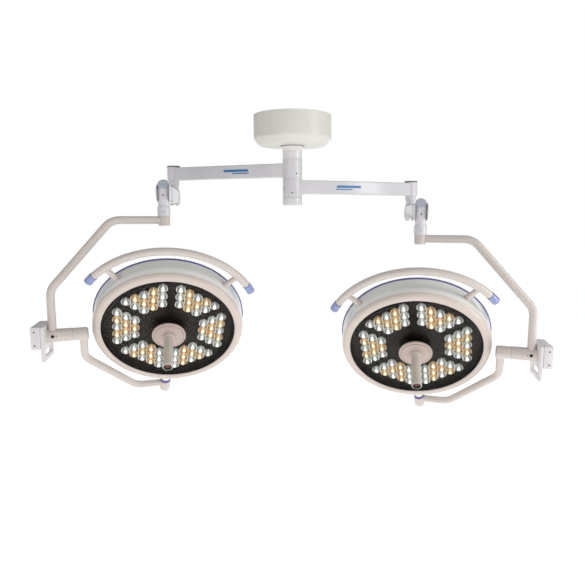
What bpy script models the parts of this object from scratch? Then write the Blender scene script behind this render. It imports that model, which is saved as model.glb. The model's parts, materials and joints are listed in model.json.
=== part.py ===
"""Ceiling surgical light with two LED heads, each on its own swivelling arm, balance arm, gooseneck and yoke.

Metres, +Z up. The origin is the centre of the ceiling face, +X runs to the right-hand head, and the faces
of the heads look towards -Y. Everything on one side hangs from that side's own chain of empties, one at each
joint. The chains are written for the right side, and the left side is its mirror image.
"""

import math

import bmesh
import bpy
from mathutils import Matrix, Vector

# Driving dimensions ---------------------------------------------------------------------------------------
GAP = 0.0003                # between touching faces
CANOPY_RADIUS = 0.2050
CANOPY_HEIGHT = 0.157
CANOPY_EDGE = 0.038
CANOPY_WALL = 0.003
CANOPY_SEAM = math.radians(45)    # direction of the seam between the two halves, seen from above
COLUMN_RADIUS = 0.052
SPINDLE_RADIUS = 0.030
SLEEVE_TOP = -0.226
SLEEVE_HEIGHT = 0.1005
END_CAP_HEIGHT = 0.040

ARM_DROP = {"right": -0.370, "left": -0.283}   # height of each arm's centre line
ARM_REACH = 0.758           # column axis to hub axis
ARM_SWEEP = math.radians(23.3)
ARM_HEIGHT = 0.074
ARM_WIDTH = 0.060
ARM_WALL = 0.004
HUB_RADIUS = 0.0369
HUB_SPINDLE = 0.0175
HUB_LIP = 0.001             # hub below the beam's underside
HUB_RISE = 0.004            # hub above the beam's top

BALANCE_LENGTH = 0.706      # rear pivot to front pivot
BALANCE_HEADING = math.radians(-97.7)
PIVOT_DROP = 0.133          # arm centre line to the balance arm's pivots
BALANCE_WIDTH = 0.063
BALANCE_HEIGHT = 0.075
BALANCE_WALL = 0.0035
CHEEK_RADIUS = 0.042
PIN_RADIUS = 0.008
ROD_OFFSET = 0.028          # parallel rod below the pivots
KNUCKLE_RADIUS = 0.0263

GOOSENECK_HEADING = math.radians(-20)
GOOSENECK_DROP = 0.125      # pivot to the gooseneck's level stretch
GOOSENECK_KNEE = 0.238      # where the level stretch starts to slope
GOOSENECK_REACH = 0.511     # upright stretch, from the swivel axis
GOOSENECK_SLOPE = math.radians(48.5)
TUBE_RADIUS = 0.0183
TUBE_BORE = 0.0150
AXIS_DROP = 0.640           # pivot to the yoke's level axis
LATERAL_RADIUS = 0.0292
LATERAL_SEAM = 0.4270
BRACKET_FACE = 0.5310

YOKE_ROLL = math.radians(56.3)    # the yoke hangs back by this much from straight forward
YOKE_LEG = 0.3810
YOKE_BASE = 0.4020
YOKE_CHAMFER = 0.5410       # the sloping stretch's distance, summed along both yoke axes
YOKE_END = 0.3620
PIVOT_SHIFT = -0.007        # the head's pivot, from the gooseneck's swivel axis along the yoke's axis
HEAD_TURN = math.radians(-8.9)
HEAD_STEPS = 30             # flat sides round the head's turned pieces

LENS_PLANE = -0.010         # lens faces, from the yoke's axis, negative towards the light's face
RIM_FRONT = -0.032
COVER_RADIUS = 0.3130
RIM_RADIUS = 0.3520
GASKET_RADIUS = 0.3600
GASKET_FRONT = 0.0740
BOARD_FRONT = 0.0040
LENS_PITCH = 0.0465
LENS_RADIUS = 0.0222
LENS_ROW = 0.2000           # middle row of each group, from the centre
RAIL_RADIUS = 0.434
RAIL_TUBE = 0.0175
RAIL_PLANE = 0.033
RAIL_HALF_ANGLE = math.radians(51.5)
POST_ANGLE = math.radians(43)
KNOB_RADIUS = 0.0790
NECK_RADIUS = 0.0340        # the knob's neck, through the clear cover
HANDLE_RADIUS = 0.0230
HANDLE_TIP = -0.254
KNOB_STAND = 0.0260         # the knob's rim in front of the front ring
CONTROLS_TURN = math.radians(10)

WHITE = (0.80, 0.79, 0.80)
IVORY = (0.80, 0.75, 0.71)
CREAM = (0.82, 0.79, 0.73)
BLUE = (0.35, 0.38, 0.62)


# Materials and meshes ---------------------------------------------------------------------------------------
def material(name, colour, roughness=0.35, metallic=0.0, alpha=1.0):
    found = bpy.data.materials.get(name) or bpy.data.materials.new(name)
    found.use_nodes = True
    shader = found.node_tree.nodes["Principled BSDF"]
    shader.inputs["Base Color"].default_value = (*colour, 1.0)
    shader.inputs["Roughness"].default_value = roughness
    shader.inputs["Metallic"].default_value = metallic
    shader.inputs["Alpha"].default_value = alpha
    return found


def turned(profile, steps):
    """A solid of revolution about Z from (radius, height) points. A closed profile meets itself."""
    shape = bmesh.new()
    points = [shape.verts.new((radius, 0.0, height)) for radius, height in profile]
    edges = [shape.edges.new(pair) for pair in zip(points, points[1:])]
    if profile[0][0] > 1e-6:
        edges.append(shape.edges.new((points[-1], points[0])))
    bmesh.ops.spin(
        shape, geom=points + edges, cent=(0, 0, 0), axis=(0, 0, 1), angle=2 * math.pi, steps=steps,
        use_merge=True,
    )
    return tidied(shape)


def tidied(shape):
    bmesh.ops.remove_doubles(shape, verts=shape.verts, dist=1e-6)
    bmesh.ops.recalc_face_normals(shape, faces=shape.faces)
    return shape


def rod(radius, low, high, steps=16, edge=0.0):
    """A solid cylinder along Z, with its two edges chamfered."""
    profile = [
        (0, low), (radius - edge, low), (radius, low + edge), (radius, high - edge), (radius - edge, high),
    ]
    if edge == 0.0:
        profile = [(0, low), (radius, low), (radius, high)]
    return turned(profile + [(0, high)], steps)


def pipe(bore, radius, low, high, steps):
    return turned([(bore, low), (radius, low), (radius, high), (bore, high)], steps)


def block(low, high, edge=0.0, segments=2):
    """A box between two corners, its edges rounded."""
    shape = bmesh.new()
    bmesh.ops.create_cube(shape, size=1.0)
    low, high = Vector(low), Vector(high)
    bmesh.ops.scale(shape, vec=high - low, verts=shape.verts)
    bmesh.ops.translate(shape, vec=(low + high) / 2, verts=shape.verts)
    if edge:
        bmesh.ops.bevel(
            shape, geom=shape.edges, offset=edge, segments=segments, profile=0.5, affect="EDGES",
            clamp_overlap=True,
        )
    return shape


def turn_to(shape, direction):
    """Turns a shape made along Z so that it runs along the direction."""
    turn = Vector((0, 0, 1)).rotation_difference(Vector(direction)).to_matrix()
    bmesh.ops.rotate(shape, cent=(0, 0, 0), matrix=turn, verts=shape.verts)
    return shape


def moved(shape, offset):
    bmesh.ops.translate(shape, vec=Vector(offset), verts=shape.verts)
    return shape


def rounded_path(corners, radius, steps=3):
    """The points of a path through the corners, with each inner corner rounded to the radius."""
    corners = [Vector(corner) for corner in corners]
    path = [corners[0]]
    for before, corner, after in zip(corners, corners[1:], corners[2:]):
        back, ahead = (before - corner).normalized(), (after - corner).normalized()
        half = back.angle(ahead) / 2
        centre = corner + (back + ahead).normalized() * radius / math.sin(half)
        start, end = corner + back * radius / math.tan(half), corner + ahead * radius / math.tan(half)
        sweep = (start - centre).angle(end - centre)
        for step in range(steps + 1):
            share = step / steps
            spoke = (start - centre) * math.sin((1 - share) * sweep)
            spoke += (end - centre) * math.sin(share * sweep)
            path.append(centre + spoke / math.sin(sweep))
    return path + [corners[-1]]


def arc(radius, start, end, steps, height=0.0):
    """Points on an arc in the XY plane, angles counted from -Y towards +X."""
    angles = [start + (end - start) * step / steps for step in range(steps + 1)]
    return [(radius * math.sin(angle), -radius * math.cos(angle), height) for angle in angles]


def tube(points, radius, resolution=1):
    """A round bar along the points, made from a bevelled curve with filled ends."""
    curve = bpy.data.curves.new("route", "CURVE")
    curve.dimensions = "3D"
    curve.bevel_depth = radius
    curve.bevel_resolution = resolution
    curve.use_fill_caps = True
    spline = curve.splines.new("POLY")
    spline.points.add(len(points) - 1)
    for target, point in zip(spline.points, points):
        target.co = (*point, 1.0)
    holder = bpy.data.objects.new("route", curve)
    bpy.context.scene.collection.objects.link(holder)
    bpy.context.view_layer.update()
    evaluated = holder.evaluated_get(bpy.context.evaluated_depsgraph_get())
    shape = bmesh.new()
    shape.from_mesh(evaluated.to_mesh())
    evaluated.to_mesh_clear()
    bpy.data.objects.remove(holder)
    bpy.data.curves.remove(curve)
    return tidied(shape)


# One side of the light --------------------------------------------------------------------------------------
class Side:
    """Places pieces under one side's chain of empties, mirrored in X on the left."""

    def __init__(self, name):
        self.name = name
        self.mirrored = name == "left"
        self.frames = {}

    def frame(self, name, matrix, parent=None):
        """An empty at a joint. The matrix is relative to the parent's frame, on the right-hand side."""
        whole = (self.frames[parent][0] if parent else Matrix.Identity(4)) @ matrix
        flip = Matrix.Scale(-1, 4, (1, 0, 0))
        world = flip @ whole @ flip if self.mirrored else whole
        empty = bpy.data.objects.new(f"{self.name}_{name}_axis", None)
        empty.empty_display_size = 0.05
        bpy.context.scene.collection.objects.link(empty)
        if parent:
            empty.parent = self.frames[parent][1]
            empty.matrix_parent_inverse = Matrix.Identity(4)
            parent_world = flip @ self.frames[parent][0] @ flip if self.mirrored else self.frames[parent][0]
            empty.matrix_basis = parent_world.inverted() @ world
        else:
            empty.matrix_basis = world
        self.frames[name] = (whole, empty)

    def piece(self, name, frame, shape, look, union=(), cut=()):
        """A named object in a frame. The shapes in union are joined to it and those in cut are taken away."""
        made = self.solid(f"{self.name}_{name}", frame, shape, look)
        operands = [("UNION", other) for other in union] + [("DIFFERENCE", other) for other in cut]
        for number, (operation, other) in enumerate(operands):
            helper = self.solid(f"{self.name}_{name}_{operation.lower()}_{number}", frame, other, look)
            helper.hide_render = True
            helper.display_type = "WIRE"
            boolean = made.modifiers.new(f"{operation.lower()} {number}", "BOOLEAN")
            boolean.operation = operation
            boolean.object = helper
        return made

    def solid(self, name, frame, shape, look):
        if self.mirrored:
            bmesh.ops.scale(shape, vec=(-1, 1, 1), verts=shape.verts)
        bmesh.ops.recalc_face_normals(shape, faces=shape.faces)
        return solid_object(name, shape, look, self.frames[frame][1])


def solid_object(name, shape, look, parent=None):
    mesh = bpy.data.meshes.new(name)
    shape.to_mesh(mesh)
    shape.free()
    mesh.shade_smooth()
    mesh.set_sharp_from_angle(angle=math.radians(35))
    mesh.materials.append(look)
    made = bpy.data.objects.new(name, mesh)
    bpy.context.scene.collection.objects.link(made)
    if parent:
        made.parent = parent
        made.matrix_parent_inverse = Matrix.Identity(4)
    return made


def with_booleans(made, operations):
    """Adds (operation, shape) pairs to an object of the ceiling group."""
    for number, (operation, shape) in enumerate(operations):
        helper = solid_object(f"{made.name}_{operation.lower()}_{number}", shape, made.data.materials[0])
        helper.hide_render = True
        helper.display_type = "WIRE"
        boolean = made.modifiers.new(f"{operation.lower()} {number}", "BOOLEAN")
        boolean.operation = operation
        boolean.object = helper
    return made


# Ceiling group ----------------------------------------------------------------------------------------------
def ceiling_group():
    steel = material("ceiling steel", (0.55, 0.56, 0.58), 0.45, 0.7)
    cream = material("canopy paint", CREAM, 0.4)
    paint = material("column paint", WHITE, 0.3)
    plate_thickness = 0.012
    bolt_circle = 0.150
    bolts = [
        moved(rod(0.007, -0.05, 0.05, 6), (bolt_circle * math.cos(angle), bolt_circle * math.sin(angle), 0))
        for angle in (math.radians(30 + 60 * step) for step in range(6))
    ]
    cable_hole = moved(rod(0.0160, -0.05, 0.05, 12), (0, -0.120, 0))
    plate = solid_object("ceiling_plate", rod(0.185, -plate_thickness, 0.0, 28), steel)
    with_booleans(plate, [("DIFFERENCE", hole) for hole in [*bolts, cable_hole]])

    canopy_half("canopy_half_a", 1, cream)
    canopy_half("canopy_half_b", -1, cream)

    top = -plate_thickness - GAP
    shoulder = SLEEVE_TOP + GAP
    foot = SLEEVE_TOP - 2 * SLEEVE_HEIGHT - 0.024
    flare_top = -CANOPY_HEIGHT - 0.0015
    bore = SPINDLE_RADIUS - 0.006
    outline = [
        (bore, top), (0.095, top), (0.095, top - 0.012), (COLUMN_RADIUS, top - 0.014),
        (COLUMN_RADIUS, flare_top), (COLUMN_RADIUS + 0.0105, flare_top - 0.002),
        (COLUMN_RADIUS + 0.0105, flare_top - 0.007), (COLUMN_RADIUS + 0.003, flare_top - 0.016),
        (COLUMN_RADIUS, flare_top - 0.019), (COLUMN_RADIUS, shoulder),
        (SPINDLE_RADIUS, shoulder), (SPINDLE_RADIUS, foot), (bore, foot),
    ]
    solid_object("suspension_column", turned(outline, 20), paint)

    cap_top = SLEEVE_TOP - 2 * SLEEVE_HEIGHT - GAP
    cap_foot = cap_top - END_CAP_HEIGHT
    cap = [
        (SPINDLE_RADIUS + 0.0004, cap_top), (COLUMN_RADIUS - 0.001, cap_top),
        (COLUMN_RADIUS, cap_top - 0.001),
        (COLUMN_RADIUS, cap_foot + 0.003), (COLUMN_RADIUS - 0.003, cap_foot), (0.010, cap_foot),
        (0.010, foot - 0.002), (SPINDLE_RADIUS + 0.0004, foot - 0.002),
    ]
    solid_object("column_end_cap", turned(cap, 20), paint)

    supply = block((-0.060, 0.100, -0.075), (0.060, 0.160, -plate_thickness - GAP), 0.004, 1)
    solid_object("power_supply", supply, material("supply case", (0.30, 0.31, 0.33), 0.5, 0.3))


def canopy_half(name, facing, look):
    """Half of the round canopy, with an inner flange where it closes on the column."""
    hole = COLUMN_RADIUS + 0.0012
    foot = -CANOPY_HEIGHT
    steps = 3
    outer = [
        (
            CANOPY_RADIUS - CANOPY_EDGE + CANOPY_EDGE * math.cos(math.radians(90 * step / steps)),
            foot + CANOPY_EDGE - CANOPY_EDGE * math.sin(math.radians(90 * step / steps)),
        )
        for step in range(steps + 1)
    ]
    inner_edge = CANOPY_EDGE - CANOPY_WALL
    inner = [
        (
            CANOPY_RADIUS - CANOPY_EDGE + inner_edge * math.sin(math.radians(90 * step / steps)),
            foot + CANOPY_EDGE - inner_edge * math.cos(math.radians(90 * step / steps)),
        )
        for step in range(steps + 1)
    ]
    top = -0.0005
    profile = [(CANOPY_RADIUS, top)] + outer + [(hole, foot), (hole, foot + CANOPY_WALL)] + inner
    profile += [(CANOPY_RADIUS - CANOPY_WALL, top)]
    half = solid_object(name, turned(profile, 32), look)
    size = 2 * CANOPY_RADIUS
    keep_out = block((-size, GAP / 2 - size, -size), (size, GAP / 2, size))
    turn = CANOPY_SEAM + (math.pi if facing < 0 else 0.0)
    bmesh.ops.rotate(keep_out, cent=(0, 0, 0), matrix=Matrix.Rotation(turn, 3, "Z"), verts=keep_out.verts)
    with_booleans(half, [("DIFFERENCE", keep_out)])


# Arms -------------------------------------------------------------------------------------------------------
def joint_frames(side):
    side.frame(
        "arm", Matrix.Translation((0, 0, ARM_DROP[side.name])) @ Matrix.Rotation(ARM_SWEEP, 4, "Z")
    )
    side.frame(
        "hub",
        Matrix.Translation((ARM_REACH, 0, -PIVOT_DROP))
        @ Matrix.Rotation(BALANCE_HEADING - ARM_SWEEP, 4, "Z"),
        "arm",
    )
    side.frame("balance", Matrix.Identity(4), "hub")
    side.frame("rod", Matrix.Translation((0, 0, -ROD_OFFSET)), "hub")
    side.frame("front", Matrix.Translation((BALANCE_LENGTH, 0, 0)), "balance")
    side.frame("gooseneck", Matrix.Rotation(GOOSENECK_HEADING - BALANCE_HEADING, 4, "Z"), "front")
    side.frame(
        "yoke",
        Matrix.Translation((0, 0, -AXIS_DROP)) @ Matrix.Rotation(-YOKE_ROLL, 4, "X"),
        "gooseneck",
    )
    side.frame("head", Matrix.Translation((PIVOT_SHIFT, 0, 0)) @ Matrix.Rotation(HEAD_TURN, 4, "Y"), "yoke")
    side.frame("handle", Matrix.Identity(4), "head")
    side.frame(
        "controls",
        Matrix.Translation((BRACKET_FACE, 0, -AXIS_DROP)) @ Matrix.Rotation(CONTROLS_TURN, 4, "Z"),
        "gooseneck",
    )


def horizontal_arm(side):
    paint = material("arm paint", WHITE, 0.28)
    sleeve_top = SLEEVE_TOP - (SLEEVE_HEIGHT if side.name == "right" else 0.0) - ARM_DROP[side.name]
    sleeve_foot = sleeve_top - SLEEVE_HEIGHT + GAP
    bore = SPINDLE_RADIUS + 0.0004
    half_width, half_height = ARM_WIDTH / 2, ARM_HEIGHT / 2
    beam = block((0.040, -half_width, -half_height), (ARM_REACH - 0.020, half_width, half_height), 0.007, 1)
    core = block(
        (0.010, ARM_WALL - half_width, ARM_WALL - half_height),
        (ARM_REACH - 0.008, half_width - ARM_WALL, half_height - ARM_WALL),
    )
    hub = moved(rod(HUB_RADIUS, -half_height - HUB_LIP, half_height + HUB_RISE, 20), (ARM_REACH, 0, 0))
    hub_bore = moved(rod(HUB_SPINDLE + 0.0004, -0.1, 0.1, 20), (ARM_REACH, 0, 0))
    side.piece(
        "horizontal_arm", "arm", rod(COLUMN_RADIUS, sleeve_foot, sleeve_top, 24), paint,
        union=[beam, hub], cut=[core, rod(bore, -0.3, 0.3, 20), hub_bore],
    )
    cap_foot = half_height + HUB_RISE + GAP
    cap = turned(
        [
            (0, cap_foot), (HUB_RADIUS + 0.0012, cap_foot), (HUB_RADIUS + 0.0012, cap_foot + 0.0035),
            (HUB_RADIUS - 0.0025, cap_foot + 0.0065), (0, cap_foot + 0.0075),
        ],
        20,
    )
    side.piece(
        "hub_cap", "arm", moved(cap, (ARM_REACH, 0, 0)), material("cap plastic", (0.33, 0.35, 0.40), 0.4),
    )


def pin_bore():
    return turn_to(rod(PIN_RADIUS + 0.0003, -0.0312, 0.0312, 12), (0, 1, 0))


def rod_pin_bore(radius, frame_drop):
    return moved(turn_to(rod(radius, -0.0125, 0.0125, 10), (0, 1, 0)), (0, 0, frame_drop))


def rear_knuckle(side):
    """Turns in the hub on a spindle, and carries the balance arm's rear pivot."""
    paint = material("arm paint", WHITE, 0.28)
    collar_top = PIVOT_DROP - ARM_HEIGHT / 2 - HUB_LIP - GAP
    collar_foot = collar_top - 0.030
    foot = -0.049
    outline = [
        (0, foot), (KNUCKLE_RADIUS - 0.003, foot), (KNUCKLE_RADIUS, foot + 0.003),
        (KNUCKLE_RADIUS, collar_foot),
        (KNUCKLE_RADIUS + 0.0045, collar_foot + 0.002), (KNUCKLE_RADIUS + 0.0045, collar_top),
        (HUB_SPINDLE, collar_top), (HUB_SPINDLE, PIVOT_DROP + ARM_HEIGHT / 2),
        (0, PIVOT_DROP + ARM_HEIGHT / 2),
    ]
    heel = turn_to(block((-0.08, -0.05, 0.0), (0.08, 0.05, 0.06)), Vector((-1, 0, -0.8)))
    slot = block((-0.012, -0.0060, -0.07), (0.05, 0.0060, -0.0125))
    side.piece(
        "rear_knuckle", "hub", turned(outline, 16), paint,
        cut=[moved(heel, (-0.020, 0, -0.030)), slot, pin_bore(), rod_pin_bore(0.0045, -ROD_OFFSET)],
    )
    side.piece("rear_pivot_pin", "hub", turn_to(rod(PIN_RADIUS, -0.0308, 0.0308, 12), (0, 1, 0)), pin_steel())


def pin_steel():
    return material("pin steel", (0.62, 0.63, 0.65), 0.25, 0.9)


def balance_arm(side):
    """A hollow box arm with a round cheek on each side of both pivots."""
    paint = material("arm paint", WHITE, 0.28)
    half_width, half_height = BALANCE_WIDTH / 2, BALANCE_HEIGHT / 2
    inner = half_width - BALANCE_WALL
    length = BALANCE_LENGTH
    body = block((0.010, -half_width, -half_height), (length - 0.010, half_width, half_height), 0.006, 1)
    cheek = [
        (0, -half_width - 0.0050), (0.0200, -half_width - 0.0042), (0.0340, -half_width - 0.0018),
        (CHEEK_RADIUS, -half_width + 0.0015), (CHEEK_RADIUS, half_width - 0.0015),
        (0.0340, half_width + 0.0018),
        (0.0200, half_width + 0.0042), (0, half_width + 0.0050),
    ]
    union = [moved(turn_to(turned(cheek, 16), (0, 1, 0)), (x, 0, 0)) for x in (0.0, length)]
    core = block(
        (-0.1, -inner, -half_height + BALANCE_WALL), (length + 0.1, inner, half_height - BALANCE_WALL),
    )
    openings = [
        block((-0.1, -inner, -0.1), (0.060, inner, 0.1)),
        block((length - 0.074, -inner, -0.1), (length + 0.1, inner, 0.1)),
    ]
    bores = [moved(pin_bore(), (x, 0, 0)) for x in (0.0, length)]
    side.piece("spring_arm", "balance", body, paint, union=union, cut=[core, *openings, *bores])

    coils = 9
    start, end = 0.110, 0.520
    step = (end - start) / coils
    crest, root, bore = 0.0195, 0.0170, 0.0125
    outline = [(bore, start)]
    for coil in range(coils):
        outline += [(root, start + coil * step), (crest, start + (coil + 0.5) * step)]
    outline += [(root, end), (bore, end)]
    spring = moved(turn_to(turned(outline, 8), (1, 0, 0)), (0, 0, 0.010))
    side.piece("balance_spring", "balance", spring, pin_steel())

    bar = block((0, -0.0040, -0.0040), (length, 0.0040, 0.0040))
    ends = [moved(turn_to(rod(0.0070, -0.0040, 0.0040, 10), (0, 1, 0)), (x, 0, 0)) for x in (0.0, length)]
    ends += [moved(turn_to(rod(0.0040, -0.0115, 0.0115, 10), (0, 1, 0)), (x, 0, 0)) for x in (0.0, length)]
    side.piece("parallel_rod", "rod", bar, pin_steel(), union=ends)


def front_knuckle(side):
    """Stays upright as the balance arm tilts, and carries the gooseneck's swivel."""
    paint = material("arm paint", WHITE, 0.28)
    head, waist, socket_top, socket_foot = 0.070, -0.056, -0.066, -0.1065
    spindle, spindle_foot = 0.0175, -0.1460
    outline = [
        (0, spindle_foot), (spindle, spindle_foot), (spindle, socket_foot),
        (KNUCKLE_RADIUS + 0.0035, socket_foot),
        (KNUCKLE_RADIUS + 0.0035, socket_top), (KNUCKLE_RADIUS - 0.0010, waist),
        (KNUCKLE_RADIUS, waist + 0.010), (KNUCKLE_RADIUS, head), (0, head),
    ]
    slope = Vector((0.65, 0, 0.76)).normalized()
    seat = Vector((0.0, 0, 0.039))
    slant = moved(turn_to(block((-0.08, -0.05, 0.0), (0.08, 0.05, 0.08)), slope), seat)
    rear_slot = block((-0.05, -0.0060, -0.048), (-0.0090, 0.0060, 0.0135))
    low_slot = block((-0.0095, -0.0060, -0.048), (0.0120, 0.0060, -0.0120))
    side.piece(
        "front_knuckle", "front", turned(outline, 16), paint,
        cut=[slant, rear_slot, low_slot, pin_bore(), rod_pin_bore(0.0050, -ROD_OFFSET)],
    )
    side.piece(
        "front_pivot_pin", "front", turn_to(rod(PIN_RADIUS, -0.0308, 0.0308, 12), (0, 1, 0)), pin_steel(),
    )

    cap = turned([(0, GAP), (0.0262, GAP), (0.0262, 0.0030), (0.0225, 0.0048), (0, 0.0056)], 24)
    bmesh.ops.scale(cap, vec=(1.316, 1.0, 1.0), verts=cap.verts)
    tilt = Matrix.Rotation(math.atan2(slope.x, slope.z), 3, "Y")
    bmesh.ops.rotate(cap, cent=(0, 0, 0), matrix=tilt, verts=cap.verts)
    side.piece(
        "front_knuckle_cap", "front", moved(cap, seat),
        material("knuckle cap plastic", (0.60, 0.64, 0.74), 0.4)
    )


# Gooseneck, controls and yoke -------------------------------------------------------------------------------
def gooseneck_route():
    slope_drop = (GOOSENECK_REACH - GOOSENECK_KNEE) * math.tan(GOOSENECK_SLOPE)
    return rounded_path(
        [
            (0.0, 0, -GOOSENECK_DROP), (GOOSENECK_KNEE, 0, -GOOSENECK_DROP),
            (GOOSENECK_REACH, 0, -GOOSENECK_DROP - slope_drop), (GOOSENECK_REACH, 0, -AXIS_DROP),
        ],
        0.085,
    )


def gooseneck(side):
    paint = material("tube paint", IVORY, 0.3)
    collar_top = -0.1065 - GAP
    collar_foot = collar_top - 0.0445
    collar = rod(KNUCKLE_RADIUS + 0.0008, collar_foot, collar_top, 20, 0.0012)
    housing = moved(
        turn_to(rod(LATERAL_RADIUS + 0.0008, LATERAL_SEAM + GAP, BRACKET_FACE + 0.020, 20), (1, 0, 0)),
        (0, 0, -AXIS_DROP),
    )
    mitre = block((0, -0.10, -0.10), (0.10, 0.10, 0.10))
    bmesh.ops.rotate(mitre, cent=(0, 0, 0), matrix=Matrix.Rotation(CONTROLS_TURN, 3, "Z"), verts=mitre.verts)
    moved(mitre, (BRACKET_FACE, 0, -AXIS_DROP))
    route = gooseneck_route()
    swivel_bore = rod(0.0180, collar_foot + 0.004, 0.0, 16)
    lateral_bore = moved(turn_to(rod(0.0200, 0.40, BRACKET_FACE - 0.012, 16), (1, 0, 0)), (0, 0, -AXIS_DROP))
    side.piece(
        "gooseneck", "gooseneck", tube(route, TUBE_RADIUS), paint,
        union=[collar, housing], cut=[tube(route, TUBE_BORE), swivel_bore, lateral_bore, mitre],
    )


def controls(side):
    """The grip bracket is bolted to the housing's end, and the control box to the bracket."""
    paint = material("box paint", WHITE, 0.35)
    front, back = -0.070, 0.095
    top, foot = 0.053, -0.106
    box_foot = -0.047
    thickness = 0.0155
    bar = 0.0200
    face = GAP
    bracket = block((face, front, foot), (face + thickness, back, top), 0.005, 2)
    window = block(
        (face - 0.1, front + bar, foot + bar), (face + 0.1, back - bar, box_foot - 0.004), 0.008, 2,
    )
    side.piece("grip_bracket", "controls", bracket, paint, cut=[window])
    inner = face + thickness + GAP
    box = block((inner, front, box_foot), (inner + 0.040, back, top), 0.004, 2)
    side.piece("control_box", "controls", box, paint)


def yoke(side):
    paint = material("tube paint", IVORY, 0.3)
    route = rounded_path(
        [
            (YOKE_LEG, 0.0, 0), (YOKE_LEG, YOKE_CHAMFER - YOKE_LEG, 0),
            (YOKE_CHAMFER - YOKE_BASE, YOKE_BASE, 0), (PIVOT_SHIFT, YOKE_BASE, 0),
        ],
        0.090,
    )
    sleeve = turn_to(rod(LATERAL_RADIUS, YOKE_END, LATERAL_SEAM, 20, 0.0020), (1, 0, 0))
    spindle = turn_to(rod(0.0195, LATERAL_SEAM - 0.01, BRACKET_FACE - 0.034, 16), (1, 0, 0))
    knuckle_front, knuckle_foot = 0.3838, 0.4500
    pivot = (PIVOT_SHIFT, 0, 0)
    knuckle = moved(turn_to(rod(0.0262, knuckle_front, knuckle_foot, 20, 0.0040), (0, 1, 0)), pivot)
    knuckle_bore = moved(turn_to(rod(0.0125, 0.34, knuckle_foot - 0.006, 16), (0, 1, 0)), pivot)
    wire_way = turn_to(rod(0.0100, YOKE_LEG, 0.60, 12), (1, 0, 0))
    side.piece(
        "yoke_arm", "yoke", tube(route, TUBE_RADIUS - 0.0003), paint,
        union=[sleeve, spindle, knuckle], cut=[tube(route, TUBE_BORE), knuckle_bore, wire_way],
    )
    ring = turned([(0.0125, 0.3672), (0.0262, 0.3672), (0.0262, 0.3834), (0.0125, 0.3834)], 20)
    plastic = material("swivel plastic", (0.24, 0.17, 0.42))
    side.piece("yoke_swivel_ring", "yoke", moved(turn_to(ring, (0, 1, 0)), pivot), plastic)


# Head -------------------------------------------------------------------------------------------------------
def head_shell(side):
    paint = material("head paint", (0.78, 0.78, 0.75), 0.3)
    wall = 0.003
    joint = 0.0140           # where the front ring meets the shell
    groove = GASKET_FRONT
    outer = [
        (GASKET_RADIUS - 0.0060, joint), (GASKET_RADIUS - 0.0030, groove), (GASKET_RADIUS - 0.0075, groove),
        (GASKET_RADIUS - 0.0075, groove + 0.010), (GASKET_RADIUS - 0.0040, groove + 0.010),
        (GASKET_RADIUS - 0.0120, groove + 0.017), (0.3150, groove + 0.031), (0.2200, groove + 0.045),
        (0, groove + 0.052),
    ]
    inner = [
        (0, groove + 0.052 - wall), (0.2190, groove + 0.045 - wall), (0.3130, groove + 0.031 - wall),
        (GASKET_RADIUS - 0.0155, groove + 0.015), (GASKET_RADIUS - 0.0115, groove),
        (GASKET_RADIUS - 0.0100, joint),
    ]
    outline = outer[::-1] + inner[::-1]
    boss = turn_to(rod(0.0240, 0.3480, 0.3668, 20), (0, 1, 0))
    stub = turn_to(rod(0.0121, 0.3400, 0.4400, 16), (0, 1, 0))
    side.piece("head_housing", "head", turned(outline, HEAD_STEPS), paint, union=[boss, stub])

    ring = [
        (GASKET_RADIUS - 0.0070, groove + GAP), (GASKET_RADIUS, groove + GAP),
        (GASKET_RADIUS, groove + 0.0065),
        (GASKET_RADIUS - 0.0025, groove + 0.0095), (GASKET_RADIUS - 0.0070, groove + 0.0095),
    ]
    side.piece("head_gasket", "head", turned(ring, HEAD_STEPS), material("gasket rubber", BLUE, 0.5))

    rim = [
        (GASKET_RADIUS - 0.0060, joint - GAP), (RIM_RADIUS + 0.0012, 0.0), (RIM_RADIUS, -0.014),
        (RIM_RADIUS - 0.0060, -0.0250), (RIM_RADIUS - 0.0150, RIM_FRONT), (COVER_RADIUS + 0.0040, RIM_FRONT),
        (COVER_RADIUS, RIM_FRONT + 0.0030), (COVER_RADIUS, RIM_FRONT + 0.0060),
        (RIM_RADIUS - 0.0200, RIM_FRONT + 0.0060), (RIM_RADIUS - 0.0060, -0.0140),
        (GASKET_RADIUS - 0.0100, joint - GAP),
    ]
    boss_room = turn_to(rod(0.0245, 0.3300, 0.3900, 20), (0, 1, 0))
    side.piece(
        "front_ring", "head", turned(rim, HEAD_STEPS), material("rim paint", (0.80, 0.74, 0.69), 0.3),
        cut=[boss_room],
    )

    cover_front = RIM_FRONT + 0.0063
    cover = pipe(NECK_RADIUS + 0.0015, RIM_RADIUS - 0.0260, cover_front, cover_front + 0.0030, HEAD_STEPS)
    clear = material("clear cover", (0.90, 0.92, 0.93), 0.03, 0.0, 0.25)
    side.piece("front_cover", "head", cover, clear)


def led_engine(side):
    """The dark board, and the sheet of lenses in front of it."""
    board = rod(RIM_RADIUS - 0.0140, BOARD_FRONT, BOARD_FRONT + 0.0030, HEAD_STEPS)
    side.piece("led_board", "head", board, material("board black", (0.020, 0.014, 0.012), 0.12))
    sheet_back = BOARD_FRONT - GAP
    sheet_front = sheet_back - 0.0030
    sheet = turned(
        [(0.070, sheet_back), (0.070, sheet_front), (0.2830, sheet_front), (0.2830, sheet_back)], 28
    )
    groups = [lens_block(group * math.pi / 3, sheet_front + 0.001) for group in range(6)]
    side.piece(
        "led_lens_array", "head", sheet, material("lens acrylic", (0.85, 0.86, 0.84), 0.1), union=groups,
    )


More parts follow.
